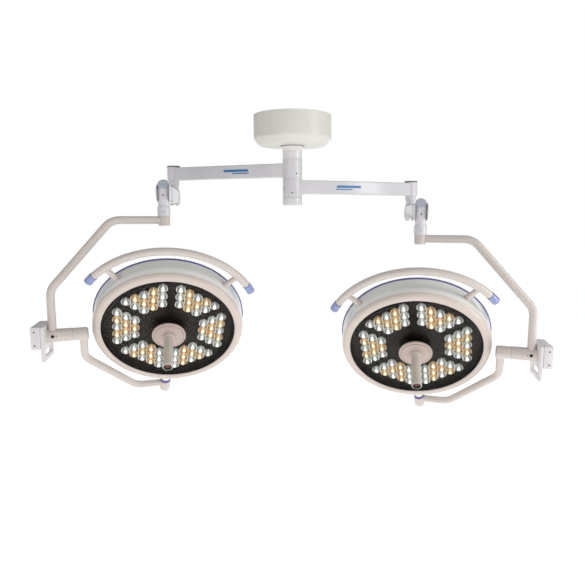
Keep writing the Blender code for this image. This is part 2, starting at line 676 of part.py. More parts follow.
def lens_block(heading, back):
    """The outline of twelve close lenses in rows of five, four and three, as one block."""
    row_step = LENS_PITCH * math.sqrt(3) / 2
    inner, outer = LENS_ROW - row_step - LENS_RADIUS, LENS_ROW + row_step + LENS_RADIUS
    wide, narrow = 2 * LENS_PITCH + LENS_RADIUS, LENS_PITCH + LENS_RADIUS
    outline = [
        (inner, -narrow + 0.010), (outer - 2 * LENS_RADIUS, -wide), (outer, -wide + 0.010),
        (outer, wide - 0.010), (outer - 2 * LENS_RADIUS, wide), (inner, narrow - 0.010),
    ]
    shape = bmesh.new()
    face = shape.faces.new([shape.verts.new((x, y, back)) for x, y in outline])
    raised = bmesh.ops.extrude_face_region(shape, geom=[face])["geom"]
    corners = [item for item in raised if isinstance(item, bmesh.types.BMVert)]
    bmesh.ops.translate(shape, vec=(0, 0, LENS_PLANE - back), verts=corners)
    bmesh.ops.rotate(shape, cent=(0, 0, 0), matrix=Matrix.Rotation(heading, 3, "Z"), verts=shape.verts)
    return shape


def handle(side):
    """The centre knob turns to focus. The sleeve pulls off its spindle once the button is pressed."""
    knob_back = BOARD_FRONT - 0.0004
    rim_face = RIM_FRONT - KNOB_STAND
    knob_front = rim_face - 0.0030
    spindle = 0.0135
    spindle_tip = HANDLE_TIP + 0.030
    knob = [
        (0, knob_back), (NECK_RADIUS, knob_back), (NECK_RADIUS, rim_face + 0.0130),
        (KNOB_RADIUS - 0.0040, rim_face + 0.0130), (KNOB_RADIUS, rim_face + 0.0090),
        (KNOB_RADIUS, rim_face + 0.0030), (KNOB_RADIUS - 0.0030, rim_face),
        (KNOB_RADIUS - 0.0080, rim_face), (KNOB_RADIUS - 0.0110, knob_front),
        (spindle, knob_front), (spindle, spindle_tip), (0, spindle_tip),
    ]
    side.piece(
        "handle_base", "handle", turned(list(reversed(knob)), 24), material("knob paint", (0.62, 0.53, 0.50)),
    )

    root = knob_front - GAP
    bore = spindle + 0.0004
    sleeve = [
        (bore, root), (HANDLE_RADIUS + 0.0030, root), (HANDLE_RADIUS + 0.0030, root - 0.0080),
        (HANDLE_RADIUS, root - 0.0160), (HANDLE_RADIUS, HANDLE_TIP + 0.0020),
        (HANDLE_RADIUS - 0.0020, HANDLE_TIP),
        (0.0130, HANDLE_TIP), (0.0130, HANDLE_TIP + 0.0200), (0.0090, HANDLE_TIP + 0.0200),
        (0.0090, HANDLE_TIP + 0.0240), (bore, HANDLE_TIP + 0.0240),
    ]
    side.piece(
        "handle_sleeve", "handle", turned(sleeve, 16), material("handle plastic", (0.70, 0.64, 0.58), 0.35),
    )
    button = [
        (0, HANDLE_TIP + 0.0060), (0.0110, HANDLE_TIP + 0.0060), (0.0122, HANDLE_TIP + 0.0072),
        (0.0122, HANDLE_TIP + 0.0140), (0.0085, HANDLE_TIP + 0.0140), (0.0085, HANDLE_TIP + 0.0240),
        (0, HANDLE_TIP + 0.0240),
    ]
    side.piece(
        "lock_button", "handle", turned(button, 12), material("button plastic", (0.30, 0.12, 0.09), 0.3),
    )


def rail(side):
    """The rail around the head's upper half, on two posts, with a plastic cap at each end."""
    paint = material("tube paint", IVORY, 0.3)
    points = arc(RAIL_RADIUS, -RAIL_HALF_ANGLE, RAIL_HALF_ANGLE, 18, RAIL_PLANE)
    posts = []
    for angle in (-POST_ANGLE, POST_ANGLE):
        outward = Vector((math.sin(angle), -math.cos(angle), 0))
        posts.append(
            moved(turn_to(rod(0.0130, GASKET_RADIUS - 0.0020, RAIL_RADIUS, 12), outward), (0, 0, RAIL_PLANE))
        )
    side.piece("handle_rail", "head", tube(points, RAIL_TUBE), paint, union=posts)
    cap_angle = 0.050 / RAIL_RADIUS
    gap_angle = 0.0016 / RAIL_RADIUS    # the rail's end faces lean by half a flat side
    plastic = material("rail cap plastic", (0.36, 0.40, 0.66), 0.35)
    for name, way in (("rail_cap_outer", 1), ("rail_cap_inner", -1)):
        start = way * (RAIL_HALF_ANGLE + gap_angle)
        end = way * (RAIL_HALF_ANGLE + cap_angle)
        cap = tube(arc(RAIL_RADIUS, start, end, 3, RAIL_PLANE), RAIL_TUBE + 0.0020)
        side.piece(name, "head", cap, plastic)


def clear_scene():
    for old in list(bpy.data.objects):
        bpy.data.objects.remove(old)


def main():
    clear_scene()
    ceiling_group()
    for name in ("left", "right"):
        side = Side(name)
        joint_frames(side)
        horizontal_arm(side)
        rear_knuckle(side)
        balance_arm(side)
        front_knuckle(side)
        gooseneck(side)
        controls(side)
        yoke(side)
        head_shell(side)
        led_engine(side)
        handle(side)
        rail(side)


main()
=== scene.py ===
"""Looks for the ceiling surgical light: smooth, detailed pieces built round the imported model.

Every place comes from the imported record's joints. Each side's pieces are written in the right-hand side's own
joint frames, and the left side is their mirror image.
"""

import json
from math import atan2, cos, pi, radians, sin, sqrt, tan

import bmesh
import bpy
from mathutils import Matrix, Vector


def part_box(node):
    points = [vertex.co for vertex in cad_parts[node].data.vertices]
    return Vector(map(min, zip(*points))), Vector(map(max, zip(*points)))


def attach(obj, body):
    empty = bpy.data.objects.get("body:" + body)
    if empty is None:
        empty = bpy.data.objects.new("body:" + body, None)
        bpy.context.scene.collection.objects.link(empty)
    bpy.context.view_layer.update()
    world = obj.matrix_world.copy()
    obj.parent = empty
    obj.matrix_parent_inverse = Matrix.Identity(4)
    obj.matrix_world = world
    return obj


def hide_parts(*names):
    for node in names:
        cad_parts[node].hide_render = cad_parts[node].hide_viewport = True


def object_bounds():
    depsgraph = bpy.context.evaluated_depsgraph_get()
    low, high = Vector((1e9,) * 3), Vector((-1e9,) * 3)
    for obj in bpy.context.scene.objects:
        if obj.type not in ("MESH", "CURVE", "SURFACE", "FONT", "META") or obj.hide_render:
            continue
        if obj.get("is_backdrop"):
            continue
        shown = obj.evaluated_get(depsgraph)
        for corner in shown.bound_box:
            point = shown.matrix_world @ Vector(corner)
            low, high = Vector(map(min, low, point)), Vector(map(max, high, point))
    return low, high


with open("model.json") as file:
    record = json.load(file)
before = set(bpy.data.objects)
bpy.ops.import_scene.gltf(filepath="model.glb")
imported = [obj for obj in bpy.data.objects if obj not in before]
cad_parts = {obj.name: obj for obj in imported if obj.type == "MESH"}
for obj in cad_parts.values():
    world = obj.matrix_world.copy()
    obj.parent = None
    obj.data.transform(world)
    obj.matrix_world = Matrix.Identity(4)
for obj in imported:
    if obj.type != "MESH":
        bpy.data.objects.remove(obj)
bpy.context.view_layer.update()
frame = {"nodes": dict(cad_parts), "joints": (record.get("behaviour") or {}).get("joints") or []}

JOINTS = {joint["name"]: joint for joint in frame["joints"]}
UP = Vector((0, 0, 1))


# Mesh kit -------------------------------------------------
def slerp(centre, start, end, steps):
    """Points on the arc about the centre from start to end."""
    first, last = start - centre, end - centre
    sweep = first.angle(last)
    shares = [step / steps for step in range(steps + 1)]
    return [
        centre + (first * sin((1 - share) * sweep) + last * sin(share * sweep)) / sin(sweep)
        for share in shares
    ]


def rounded(corners, radius, steps, closed):
    """Corners as vectors, each with its own radius, or the common one, turned to an arc."""
    path = []
    count = len(corners)
    for number, corner in enumerate(corners):
        size = radius[number] if isinstance(radius, list) else radius
        if size == 0 or (not closed and number in (0, count - 1)):
            path.append(corner)
            continue
        back, ahead = corners[number - 1] - corner, corners[(number + 1) % count] - corner
        half = back.angle(ahead) / 2
        if half > radians(89):
            path.append(corner)
            continue
        reach = min(size / tan(half), 0.49 * back.length, 0.49 * ahead.length)
        back.normalize()
        ahead.normalize()
        centre = corner + (back + ahead).normalized() * reach / cos(half)
        path += slerp(centre, corner + back * reach, corner + ahead * reach, steps)
    return path


def outline(corners, closed=False, steps=6):
    """2-D corners, as (x, y) or (x, y, fillet radius), with the fillets made."""
    points = [Vector((*corner[:2], 0)) for corner in corners]
    radii = [corner[2] if len(corner) > 2 else 0 for corner in corners]
    return [(point.x, point.y) for point in rounded(points, radii, steps, closed)]


def skin(shape, rings, steps):
    """The faces between each ring and the next. A ring of one point makes a fan."""
    faces = []
    for low, high in zip(rings, rings[1:]):
        for step in range(steps):
            after = (step + 1) % steps
            ends = [
                low[step % len(low)], low[after % len(low)], high[after % len(high)], high[step % len(high)]
            ]
            ends = list(dict.fromkeys(ends))
            if len(ends) > 2:
                faces.append(shape.faces.new(ends))
    return faces


def lathe(corners, steps=72, closed=False, flutes=0, depth=0.0, fluted=None):
    """A turned shape about Z from (radius, height, fillet) corners. A closed one is a ring."""
    shape = bmesh.new()
    rings = []
    for radius, height in outline(corners, closed):
        if radius < 1e-6:
            rings.append([shape.verts.new((0, 0, height))])
            continue
        ring = []
        for step in range(steps):
            angle = 2 * pi * step / steps
            cut = 0.0
            if flutes and fluted[0] < height < fluted[1]:
                cut = depth * (0.5 + 0.5 * cos(flutes * angle)) ** 3
            ring.append(shape.verts.new(polar(radius - cut, angle, height)))
        rings.append(ring)
    skin(shape, rings + rings[:1] if closed else rings, steps)
    for ring in () if closed else (rings[0], rings[-1]):
        if len(ring) > 1:
            shape.faces.new(ring)
    bmesh.ops.recalc_face_normals(shape, faces=shape.faces)
    return shape


def lifted(corners, base):
    """Corners with their heights counted from the base."""
    return [(corner[0], base + corner[1], *corner[2:]) for corner in corners]


def rod(radius, low, high, steps=48, edges=(0, 0)):
    """A round bar along Z. Each end's edge is rounded by its own radius."""
    return lathe([(0, low), (radius, low, edges[0]), (radius, high, edges[1]), (0, high)], steps)


def band(inner, outer, low, high, steps=144, edge=0):
    """A plain ring, its outer edges rounded."""
    return lathe([(inner, low), (outer, low, edge), (outer, high, edge), (inner, high)], steps, closed=True)


def bevel(shape, rims, edge, segments):
    if edge:
        bmesh.ops.bevel(
            shape, geom=rims, offset=edge, segments=segments, profile=0.5, affect="EDGES", clamp_overlap=True
        )
    return shape


def prism(corners, low, high, edge=0.0, segments=4):
    """A plate with the outline, from height low to height high, its rims rounded."""
    shape = bmesh.new()
    face = shape.faces.new([shape.verts.new((x, y, low)) for x, y in outline(corners, True)])
    raised = bmesh.ops.extrude_face_region(shape, geom=[face])["geom"]
    top = [item for item in raised if isinstance(item, bmesh.types.BMVert)]
    bmesh.ops.translate(shape, vec=(0, 0, high - low), verts=top)
    bmesh.ops.recalc_face_normals(shape, faces=shape.faces)
    rims = [item for item in shape.edges if abs(item.verts[0].co.z - item.verts[1].co.z) < 1e-7]
    return bevel(shape, rims, edge, segments)


def slab(low, high, edge=0.0, segments=4):
    """A box between two corners with rounded edges."""
    shape = bmesh.new()
    bmesh.ops.create_cube(shape, size=1.0)
    low, high = Vector(low), Vector(high)
    bmesh.ops.scale(shape, vec=high - low, verts=shape.verts)
    bmesh.ops.translate(shape, vec=(low + high) / 2, verts=shape.verts)
    return bevel(shape, shape.edges, edge, segments)


def rectangle(left, foot, right, top, lower, upper):
    """A rectangle's corners, with the radius of its lower and its upper ones."""
    return [(left, foot, lower), (right, foot, lower), (right, top, upper), (left, top, upper)]


def polar(radius, angle, height=0.0):
    return Vector((radius * cos(angle), radius * sin(angle), height))


def pipe(points, radius, steps=40, ends=(0.0, 0.0), round_steps=6):
    """A round bar along the points. Each end's edge is rounded by its own radius."""
    points = [Vector(point) for point in points]
    ways = []
    for number in range(len(points)):
        before, after = points[max(number - 1, 0)], points[min(number + 1, len(points) - 1)]
        ways.append((after - before).normalized())
    stations = [(point, way, radius) for point, way in zip(points, ways)]
    for at_end, edge in enumerate(ends):
        if not edge:
            continue
        point, way = (points[-1], ways[-1]) if at_end else (points[0], ways[0])
        inward = -way if at_end else way
        cap = []
        for step in range(round_steps + 1):
            angle = pi / 2 * step / round_steps
            cap.append((point + inward * edge * (1 - cos(angle)), way, radius - edge * (1 - sin(angle))))
        stations = stations[:-1] + cap[::-1] if at_end else cap + stations[1:]
    shape = bmesh.new()
    side = stations[0][1].orthogonal()
    rings = []
    for point, way, size in stations:
        side = (side - way * side.dot(way)).normalized()
        other = way.cross(side)
        rings.append([
            shape.verts.new(
                point + max(size, 1e-4) * (side * cos(angle) + other * sin(angle))
            )
            for angle in (2 * pi * step / steps for step in range(steps))
        ])
    skin(shape, rings, steps)
    shape.faces.new(rings[0][::-1])
    shape.faces.new(rings[-1])
    bmesh.ops.recalc_face_normals(shape, faces=shape.faces)
    return shape


def bent(corners, radius, steps=14):
    return rounded([Vector(corner) for corner in corners], radius, steps, False)


def arc(radius, start, end, steps, height=0.0):
    """Points on an arc in the XY plane, angles counted from -Y towards +X."""
    angles = [start + (end - start) * step / steps for step in range(steps + 1)]
    return [(radius * sin(angle), -radius * cos(angle), height) for angle in angles]


def moved(shape, offset):
    bmesh.ops.translate(shape, vec=Vector(offset), verts=shape.verts)
    return shape


def turned(shape, matrix):
    bmesh.ops.rotate(shape, cent=(0, 0, 0), matrix=matrix, verts=shape.verts)
    return shape


def spun(shape, angle, axis="Z"):
    return turned(shape, Matrix.Rotation(angle, 3, axis))


def along(shape, direction, place=(0, 0, 0)):
    """Turns a shape made along Z to run along the direction, then moves it."""
    return moved(turned(shape, UP.rotation_difference(Vector(direction)).to_matrix()), place)


def mesh_of(shape, name):
    mesh = bpy.data.meshes.new(name)
    shape.to_mesh(mesh)
    shape.free()
    return mesh


def linked(name, data):
    """A new object in the scene."""
    item = bpy.data.objects.new(name, data)
    bpy.context.scene.collection.objects.link(item)
    return item


def joined(*shapes):
    """Several separate bodies as one mesh."""
    whole = shapes[0]
    for other in shapes[1:]:
        mesh = mesh_of(other, "part")
        whole.from_mesh(mesh)
        bpy.data.meshes.remove(mesh)
    return whole


def combined(shape, others, operation):
    """The shape with the others joined to it or cut from it."""
    made = [linked("operand", mesh_of(item, "operand")) for item in (shape, *others)]
    for tool in made[1:]:
        boolean = made[0].modifiers.new("boolean", "BOOLEAN")
        boolean.operation = operation
        boolean.object = tool
    bpy.context.view_layer.update()
    evaluated = made[0].evaluated_get(bpy.context.evaluated_depsgraph_get())
    result = bmesh.new()
    result.from_mesh(evaluated.to_mesh())
    evaluated.to_mesh_clear()
    for item in made:
        mesh = item.data
        bpy.data.objects.remove(item)
        bpy.data.meshes.remove(mesh)
    bmesh.ops.remove_doubles(result, verts=result.verts, dist=2e-6)
    return result


def cut(shape, *tools):
    return combined(shape, tools, "DIFFERENCE")


def fused(shape, *others):
    return combined(shape, others, "UNION")


def set_screw(radius, rise, way, place=(0, 0, 0)):
    """A sunk grub screw that faces along the way. Its face stands above the place by the rise."""
    body = rod(radius, -0.004, 0.0, 24, (0, radius * 0.16))
    screw = cut(body, rod(radius * 0.52, -0.0025, 0.002, 6))
    return along(moved(screw, (0, 0, rise)), way, place)


def dome_screw(radius):
    """A pan-head screw with a cross recess, its head standing on the origin towards +Z."""
    height = radius * 0.55
    crown = [(radius, height * 0.35, height * 0.3), (radius * 0.6, height), (0, height)]
    head = lathe([(0, -0.001), (radius, -0.001), *crown], 28)
    low, high = (-radius * 0.62, -radius * 0.12, height * 0.35), (radius * 0.62, radius * 0.12, 1)
    return cut(head, slab(low, high), spun(slab(low, high), pi / 2))


# Placing --------------------------------------------------
def made_object(name, shape, look, body, nodes, sharp=32):
    mesh = mesh_of(shape, name)
    mesh.shade_smooth()
    mesh.set_sharp_from_angle(angle=radians(sharp))
    mesh.materials.append(look)
    piece = linked(name, mesh)
    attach(piece, body)
    if nodes:
        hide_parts(*nodes)
    return piece


def recoat(node, look):
    """Gives a look to a CAD node that shows as it is."""
    materials = frame["nodes"][node].data.materials
    materials.clear()
    materials.append(look)


class Side:
    """One side of the light: its joint frames, and pieces placed in them."""

    def __init__(self, name):
        self.name = name
        self.flip = Matrix.Scale(-1 if name == "left" else 1, 4, (1, 0, 0))
        pivot, front = self.point("balance_tilt"), self.point("levelling_pivot")
        hub, root = self.point("balance_swivel"), Vector((0, 0, self.point("arm_swivel").z))
        reach = Vector((hub.x, hub.y, 0))
        yoke_axis, head_axis = self.axis("yoke_roll"), self.axis("head_turn")
        face = -self.axis("focus_turn")
        self.frames = {
            "arm": self.basis(root, reach, UP),
            "hub": self.basis(pivot, front - pivot, UP),
            "front": self.basis(front, front - pivot, UP),
            "gooseneck": self.basis(front, yoke_axis, UP),
            "yoke": self.basis(self.point("yoke_roll"), yoke_axis, yoke_axis.cross(head_axis)),
            "head": self.basis(self.point("head_turn"), head_axis.cross(face), face),
        }
        self.reach = reach.length
        self.balance = (front - pivot).length
        self.axis_drop = front.z - self.point("yoke_roll").z
        self.arm_height = root.z - pivot.z
        self.head_shift = (self.point("head_turn") - self.point("yoke_roll")).dot(yoke_axis)

    def point(self, joint):
        return self.flip @ Vector(JOINTS[f"{self.name}_{joint}"]["pos_m"])

    def axis(self, joint):
        return (self.flip.to_3x3() @ Vector(JOINTS[f"{self.name}_{joint}"]["axis"])).normalized()

    def basis(self, origin, along_x, along_z):
        x, z = along_x.normalized(), along_z.normalized()
        return Matrix.Translation(origin) @ Matrix((x, z.cross(x), z)).transposed().to_4x4()

    def placer(self, where, body):
        """A function that places pieces in one frame, on one body. Names here leave out the side."""

        def put(name, shape, look, slot, nodes=(), sharp=32):
            bmesh.ops.transform(shape, matrix=self.flip @ self.frames[where], verts=shape.verts)
            if self.name == "left":
                bmesh.ops.reverse_faces(shape, faces=shape.faces)
            nodes = [f"{self.name}_{node}" for node in nodes]
            return made_object(f"{self.name}_{name}", shape, look, f"{self.name}_{body}", nodes, sharp)

        return put


# Materials ------------------------------------------------
def new_material(name, roughness, **settings):
    """A material with a Principled shader, its uniform numbers set on the shader's own sockets."""
    look = bpy.data.materials.new(name)
    look.use_nodes = True
    shader = look.node_tree.nodes["Principled BSDF"]
    shader.inputs["Roughness"].default_value = roughness
    for label, value in settings.items():
        shader.inputs[label.replace("_", " ")].default_value = value
    return look, look.node_tree, shader


def noise(tree, scale, detail=3.0, stretch=None):
    node = tree.nodes.new("ShaderNodeTexNoise")
    node.inputs["Scale"].default_value = scale
    node.inputs["Detail"].default_value = detail
    place = tree.nodes.new("ShaderNodeTexCoord").outputs["Object"]
    if stretch:
        mapping = tree.nodes.new("ShaderNodeMapping")
        mapping.inputs["Scale"].default_value = stretch
        tree.links.new(place, mapping.inputs["Vector"])
        place = mapping.outputs["Vector"]
    tree.links.new(place, node.inputs["Vector"])
    return node.outputs["Fac"]


def ramp(tree, value, low, high, low_at=0.3, high_at=0.7):
    node = tree.nodes.new("ShaderNodeValToRGB")
    for element, at, colour in zip(node.color_ramp.elements, (low_at, high_at), (low, high)):
        element.position = at
        element.color = (*colour, 1.0)
    tree.links.new(value, node.inputs["Fac"])
    return node.outputs["Color"]


def spread(tree, value, low, high):
    node = tree.nodes.new("ShaderNodeMapRange")
    node.inputs["From Min"].default_value = 0.25
    node.inputs["From Max"].default_value = 0.75
    node.inputs["To Min"].default_value = low
    node.inputs["To Max"].default_value = high
    tree.links.new(value, node.inputs["Value"])
    return node.outputs["Result"]


def bumped(tree, shader, value, strength, distance):
    node = tree.nodes.new("ShaderNodeBump")
    node.inputs["Strength"].default_value = strength
    node.inputs["Distance"].default_value = distance
    tree.links.new(value, node.inputs["Height"])
    tree.links.new(node.outputs["Normal"], shader.inputs["Normal"])


def shade(colour, factor):
    return tuple(min(1.0, part * factor) for part in colour)


def coated(name, colour, roughness, grain, relief, vary=0.03, patch=7.0, stretch=None, **settings):
    """Paint, plastic, rubber or metal: slow colour drift, uneven gloss and a fine surface grain."""
    look, tree, shader = new_material(name, roughness, **settings)
    drift = noise(tree, patch, 4.0, stretch)
    tree.links.new(
        ramp(tree, drift, shade(colour, 1 - vary), shade(colour, 1 + vary)), shader.inputs["Base Color"]
    )
    smudges = noise(tree, patch * 6, 5.0, stretch)
    tree.links.new(spread(tree, smudges, roughness * 0.85, roughness * 1.2), shader.inputs["Roughness"])
    bumped(tree, shader, noise(tree, grain, 2.0, stretch), 0.35, relief)
    return look


def lens_material(name, glow_and_highlight_tint, body, dark):
    """One LED lens, drawn in its own round coordinates: an LED glow at the core, a bright streak that is a
    painted reflection, two holder legs and a ring darkened by painted shade, and a painted highlight on one
    side of the rim.
    """
    look, tree, shader = new_material(name, 0.16, Coat_Weight=0.4, Coat_Roughness=0.06)
    links, nodes = tree.links, tree.nodes

    def math_node(operation, *values):
        node = nodes.new("ShaderNodeMath")
        node.operation = operation
        for socket, value in zip(node.inputs, values):
            if isinstance(value, float):
                socket.default_value = value
            else:
                links.new(value, socket)
        return node.outputs["Value"]

    def times(one, other):
        return math_node("MULTIPLY", one, other)

    def hump(value, centre, width):
        scaled = math_node("DIVIDE", math_node("SUBTRACT", value, centre), width)
        return math_node("EXPONENT", times(times(scaled, scaled), -1.0))

    split = nodes.new("ShaderNodeSeparateXYZ")
    links.new(nodes.new("ShaderNodeUVMap").outputs["UV"], split.inputs["Vector"])
    across = math_node("SUBTRACT", times(split.outputs["X"], 2.0), 1.0)
    down = math_node("SUBTRACT", times(split.outputs["Y"], 2.0), 1.0)
    radius = math_node(
        "SQRT", math_node("ADD", times(across, across), times(down, down))
    )
    # painted shade: two holder legs and a ring are darkened in the base colour
    legs = times(hump(math_node("ABSOLUTE", across), 0.5, 0.2), hump(down, -0.05, 0.34))
    ring = hump(radius, 0.74, 0.07)
    shadow = math_node("MINIMUM", math_node("ADD", legs, times(ring, 0.6)), 1.0)
    core = hump(radius, 0.0, 0.3)
    # painted reflection: a bright vertical streak of emission down the lens
    painted_reflection_stripe = times(hump(across, 0.0, 0.15), hump(down, -0.1, 0.62))
    # painted highlight: a bright band of emission on one side of the rim
    rim = times(hump(radius, 0.9, 0.08), hump(down, 0.7, 0.75))
    # emission: the LED's glow at the core plus the painted reflection and the painted highlight
    light = math_node("ADD", math_node("MAXIMUM", core, painted_reflection_stripe), times(rim, 0.75))

    mixed = nodes.new("ShaderNodeMix")
    mixed.data_type = "RGBA"
    mixed.inputs["A"].default_value = (*body, 1.0)
    mixed.inputs["B"].default_value = (*dark, 1.0)
    links.new(shadow, mixed.inputs["Factor"])
    links.new(mixed.outputs["Result"], shader.inputs["Base Color"])
    shader.inputs["Emission Color"].default_value = (*glow_and_highlight_tint, 1.0)
    links.new(times(light, LENS_GLOW_AND_PAINTED_HIGHLIGHT), shader.inputs["Emission Strength"])
    return look


# scales the lens emission: the LED glow plus the painted reflection and painted highlight
LENS_GLOW_AND_PAINTED_HIGHLIGHT = 1.7
WHITE = (0.69, 0.675, 0.7)
IVORY = (0.64, 0.575, 0.535)

paint = coated("arm_powder_coat", WHITE, 0.3, 900, 0.00012, Coat_Weight=0.35, Coat_Roughness=0.12)
tube_paint = coated("tube_powder_coat", IVORY, 0.32, 900, 0.00012, Coat_Weight=0.3, Coat_Roughness=0.14)
canopy_paint = coated("canopy_shell", (0.72, 0.7, 0.65), 0.38, 500, 0.00015, vary=0.025)
box_paint = coated("box_satin_coat", (0.77, 0.74, 0.745), 0.4, 1100, 0.00016)
column_paint = coated(
    "column_powder_coat", (0.77, 0.755, 0.76), 0.24, 900, 0.0001, Coat_Weight=0.5, Coat_Roughness=0.08
)
# head paint, lighter than the arm paint: partly its own tone, partly painted light that offsets the shade
# falling on the shell
head_paint = coated(
    "head_casting_paint_with_painted_light", (0.85, 0.86, 0.835), 0.3, 700, 0.00012, Coat_Weight=0.3, Coat_Roughness=0.15
)
rim_paint = coated("rim_paint", (0.65, 0.565, 0.52), 0.34, 700, 0.00012, Coat_Weight=0.25, Coat_Roughness=0.18)
dark_plastic = coated("dark_cap_plastic", (0.145, 0.15, 0.175), 0.45, 1400, 0.0002, vary=0.06)
knuckle_plastic = coated("knuckle_cap_plastic", (0.56, 0.6, 0.69), 0.42, 1400, 0.0002, vary=0.04)
ring_plastic = coated("swivel_ring_plastic", (0.13, 0.09, 0.3), 0.28, 1200, 0.0001, vary=0.06)
rail_plastic = coated("rail_cap_plastic", (0.27, 0.315, 0.57), 0.3, 1200, 0.0001, vary=0.05, Coat_Weight=0.4)
gasket_rubber = coated("gasket_rubber", (0.12, 0.12, 0.33), 0.55, 1600, 0.0002, vary=0.06)
knob_paint = coated(
    "knob_moulding", (0.52, 0.41, 0.37), 0.33, 1200, 0.0001, Coat_Weight=0.4, Coat_Roughness=0.1
)
sleeve_plastic = coated("handle_moulding", (0.6, 0.545, 0.485), 0.4, 1300, 0.00015, vary=0.04)
button_plastic = coated("button_moulding", (0.21, 0.065, 0.045), 0.25, 1200, 0.0001, vary=0.08)
board_coat = coated(
    "board_black_gloss", (0.015, 0.0105, 0.0092), 0.34, 60, 0.00015, vary=0.35, patch=14,
    Specular_IOR_Level=0.15,
)
steel = coated("ground_steel", (0.56, 0.57, 0.59), 0.3, 400, 0.0001, stretch=(1, 1, 14), Metallic=1.0)
zinc = coated("zinc_plate", (0.52, 0.53, 0.55), 0.42, 240, 0.0002, vary=0.08, patch=30, Metallic=0.9)
screw_black = coated("black_oxide_screw", (0.03, 0.03, 0.033), 0.38, 900, 0.0001, vary=0.2, Metallic=0.7)
supply_paint = coated("supply_case_paint", (0.1, 0.105, 0.115), 0.55, 900, 0.0003, vary=0.08)
mark_ink = coated("blue_mark_ink", (0.03, 0.185, 0.42), 0.35, 700, 0.00004, vary=0.05)
keypad_film = coated("keypad_film", (0.3, 0.335, 0.4), 0.35, 1500, 0.00006, vary=0.04)
key_film = coated("keypad_keys", (0.62, 0.68, 0.76), 0.32, 1500, 0.00006, vary=0.04)
lens_white = lens_material("lens_white", (1.0, 0.99, 0.95), (0.5, 0.53, 0.5), (0.022, 0.025, 0.025))
lens_warm = lens_material("lens_warm", (1.0, 0.84, 0.58), (0.66, 0.46, 0.25), (0.055, 0.026, 0.012))

cover_clear, cover_tree, cover_shader = new_material(
    "clear_cover", 0.02, Transmission_Weight=1.0, IOR=1.12, Base_Color=(0.965, 0.96, 0.955, 1.0)
)
bumped(cover_tree, cover_shader, noise(cover_tree, 18, 2.0), 0.05, 0.0002)


# Ceiling group --------------------------------------------
def ceiling_group():
    low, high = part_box("canopy_half_a")[0].z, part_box("ceiling_plate")[1].z
    radius = max(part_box("canopy_half_a")[1].x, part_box("canopy_half_b")[1].x)
    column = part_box("left_horizontal_arm")[1]
    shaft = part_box("column_end_cap")[1].x

    def shared(name, shape, look, nodes=()):
        return made_object(name, shape, look, "ceiling_mount", nodes)

    hole = shaft + 0.012
    profile = [
        (radius - 0.003, -0.0005), (radius, -0.0005, 0.0012), (radius, low + 0.036, 0.01),
        (radius - 0.03, low, 0.026), (hole, low, 0.001), (hole, low + 0.003),
        (radius - 0.031, low + 0.003, 0.022), (radius - 0.003, low + 0.036, 0.008),
    ]
    for name, way in (("a", 1), ("b", -1)):
        half = lathe(profile, 144, closed=True)
        bmesh.ops.bisect_plane(
            half, geom=half.verts[:] + half.edges[:] + half.faces[:], plane_co=(0, 0.0003, 0),
            plane_no=(0, -1, 0),
            clear_outer=True,
        )
        bmesh.ops.holes_fill(half, edges=[edge for edge in half.edges if edge.is_boundary])
        bmesh.ops.recalc_face_normals(half, faces=half.faces)
        spun(half, radians(45) + (0 if way > 0 else pi))
        shared(f"canopy_shell_{name}", half, canopy_paint, [f"canopy_half_{name}"])

    top, shoulder = -0.0125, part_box("left_horizontal_arm")[1].z
    flare = low - 0.0015
    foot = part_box("suspension_column")[0].z
    profile = [
        (0, top), (0.095, top, 0.002), (0.095, top - 0.012, 0.002), (shaft, top - 0.014, 0.004), (shaft, flare),
        (shaft + 0.0105, flare - 0.001, 0.001), (shaft + 0.0105, flare - 0.006, 0.003),
        (shaft, flare - 0.021, 0.01), (shaft, column.z + 0.0075, 0.0008), (shaft - 0.0012, column.z + 0.0068),
        (shaft - 0.0012, column.z + 0.0058), (shaft, column.z + 0.005, 0.0008),
        (shaft, shoulder + 0.0004, 0.001), (0.03, shoulder + 0.0004), (0.03, foot), (0, foot),
    ]
    shared("column_shaft", lathe(profile, 96), column_paint, ["suspension_column"])

    low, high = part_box("column_end_cap")[0].z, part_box("column_end_cap")[1].z
    cap = lathe(
        [
            (0.0305, high), (shaft, high, 0.0008), (shaft, low, 0.0035), (0.012, low, 0.001),
            (0.01, low + 0.004), (0.01, high - 0.03), (0.0305, high - 0.03),
        ],
        96, closed=True,
    )
    shared("column_foot_cap", cap, column_paint, ["column_end_cap"])
    plug = rod(0.0096, low + 0.002, low + 0.01, 32, (0.001, 0))
    shared("column_foot_plug", plug, dark_plastic)

    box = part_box("power_supply")
    case = slab(box[0], box[1], 0.004)
    vents = [
        slab(
            (x - 0.004, box[0].y - 0.002, box[0].z + 0.016), (x + 0.004, box[0].y + 0.002, box[1].z - 0.014),
            0.0015
        )
        for x in (-0.04, -0.024, -0.008, 0.008, 0.024, 0.04)
    ]
    shared("supply_case", cut(case, *vents), supply_paint, ["power_supply"])
    recoat("ceiling_plate", zinc)
    for number in range(6):
        angle = radians(30 + 60 * number)
        bolt = joined(
            rod(0.012, -0.0125, -0.0145, 32, (0.0004, 0.0006)),
            rod(0.01, -0.0146, -0.0215, 6, (0.0006, 0.001)),
        )
        shared(f"plate_bolt_{number}", moved(bolt, polar(0.15, angle)), steel)


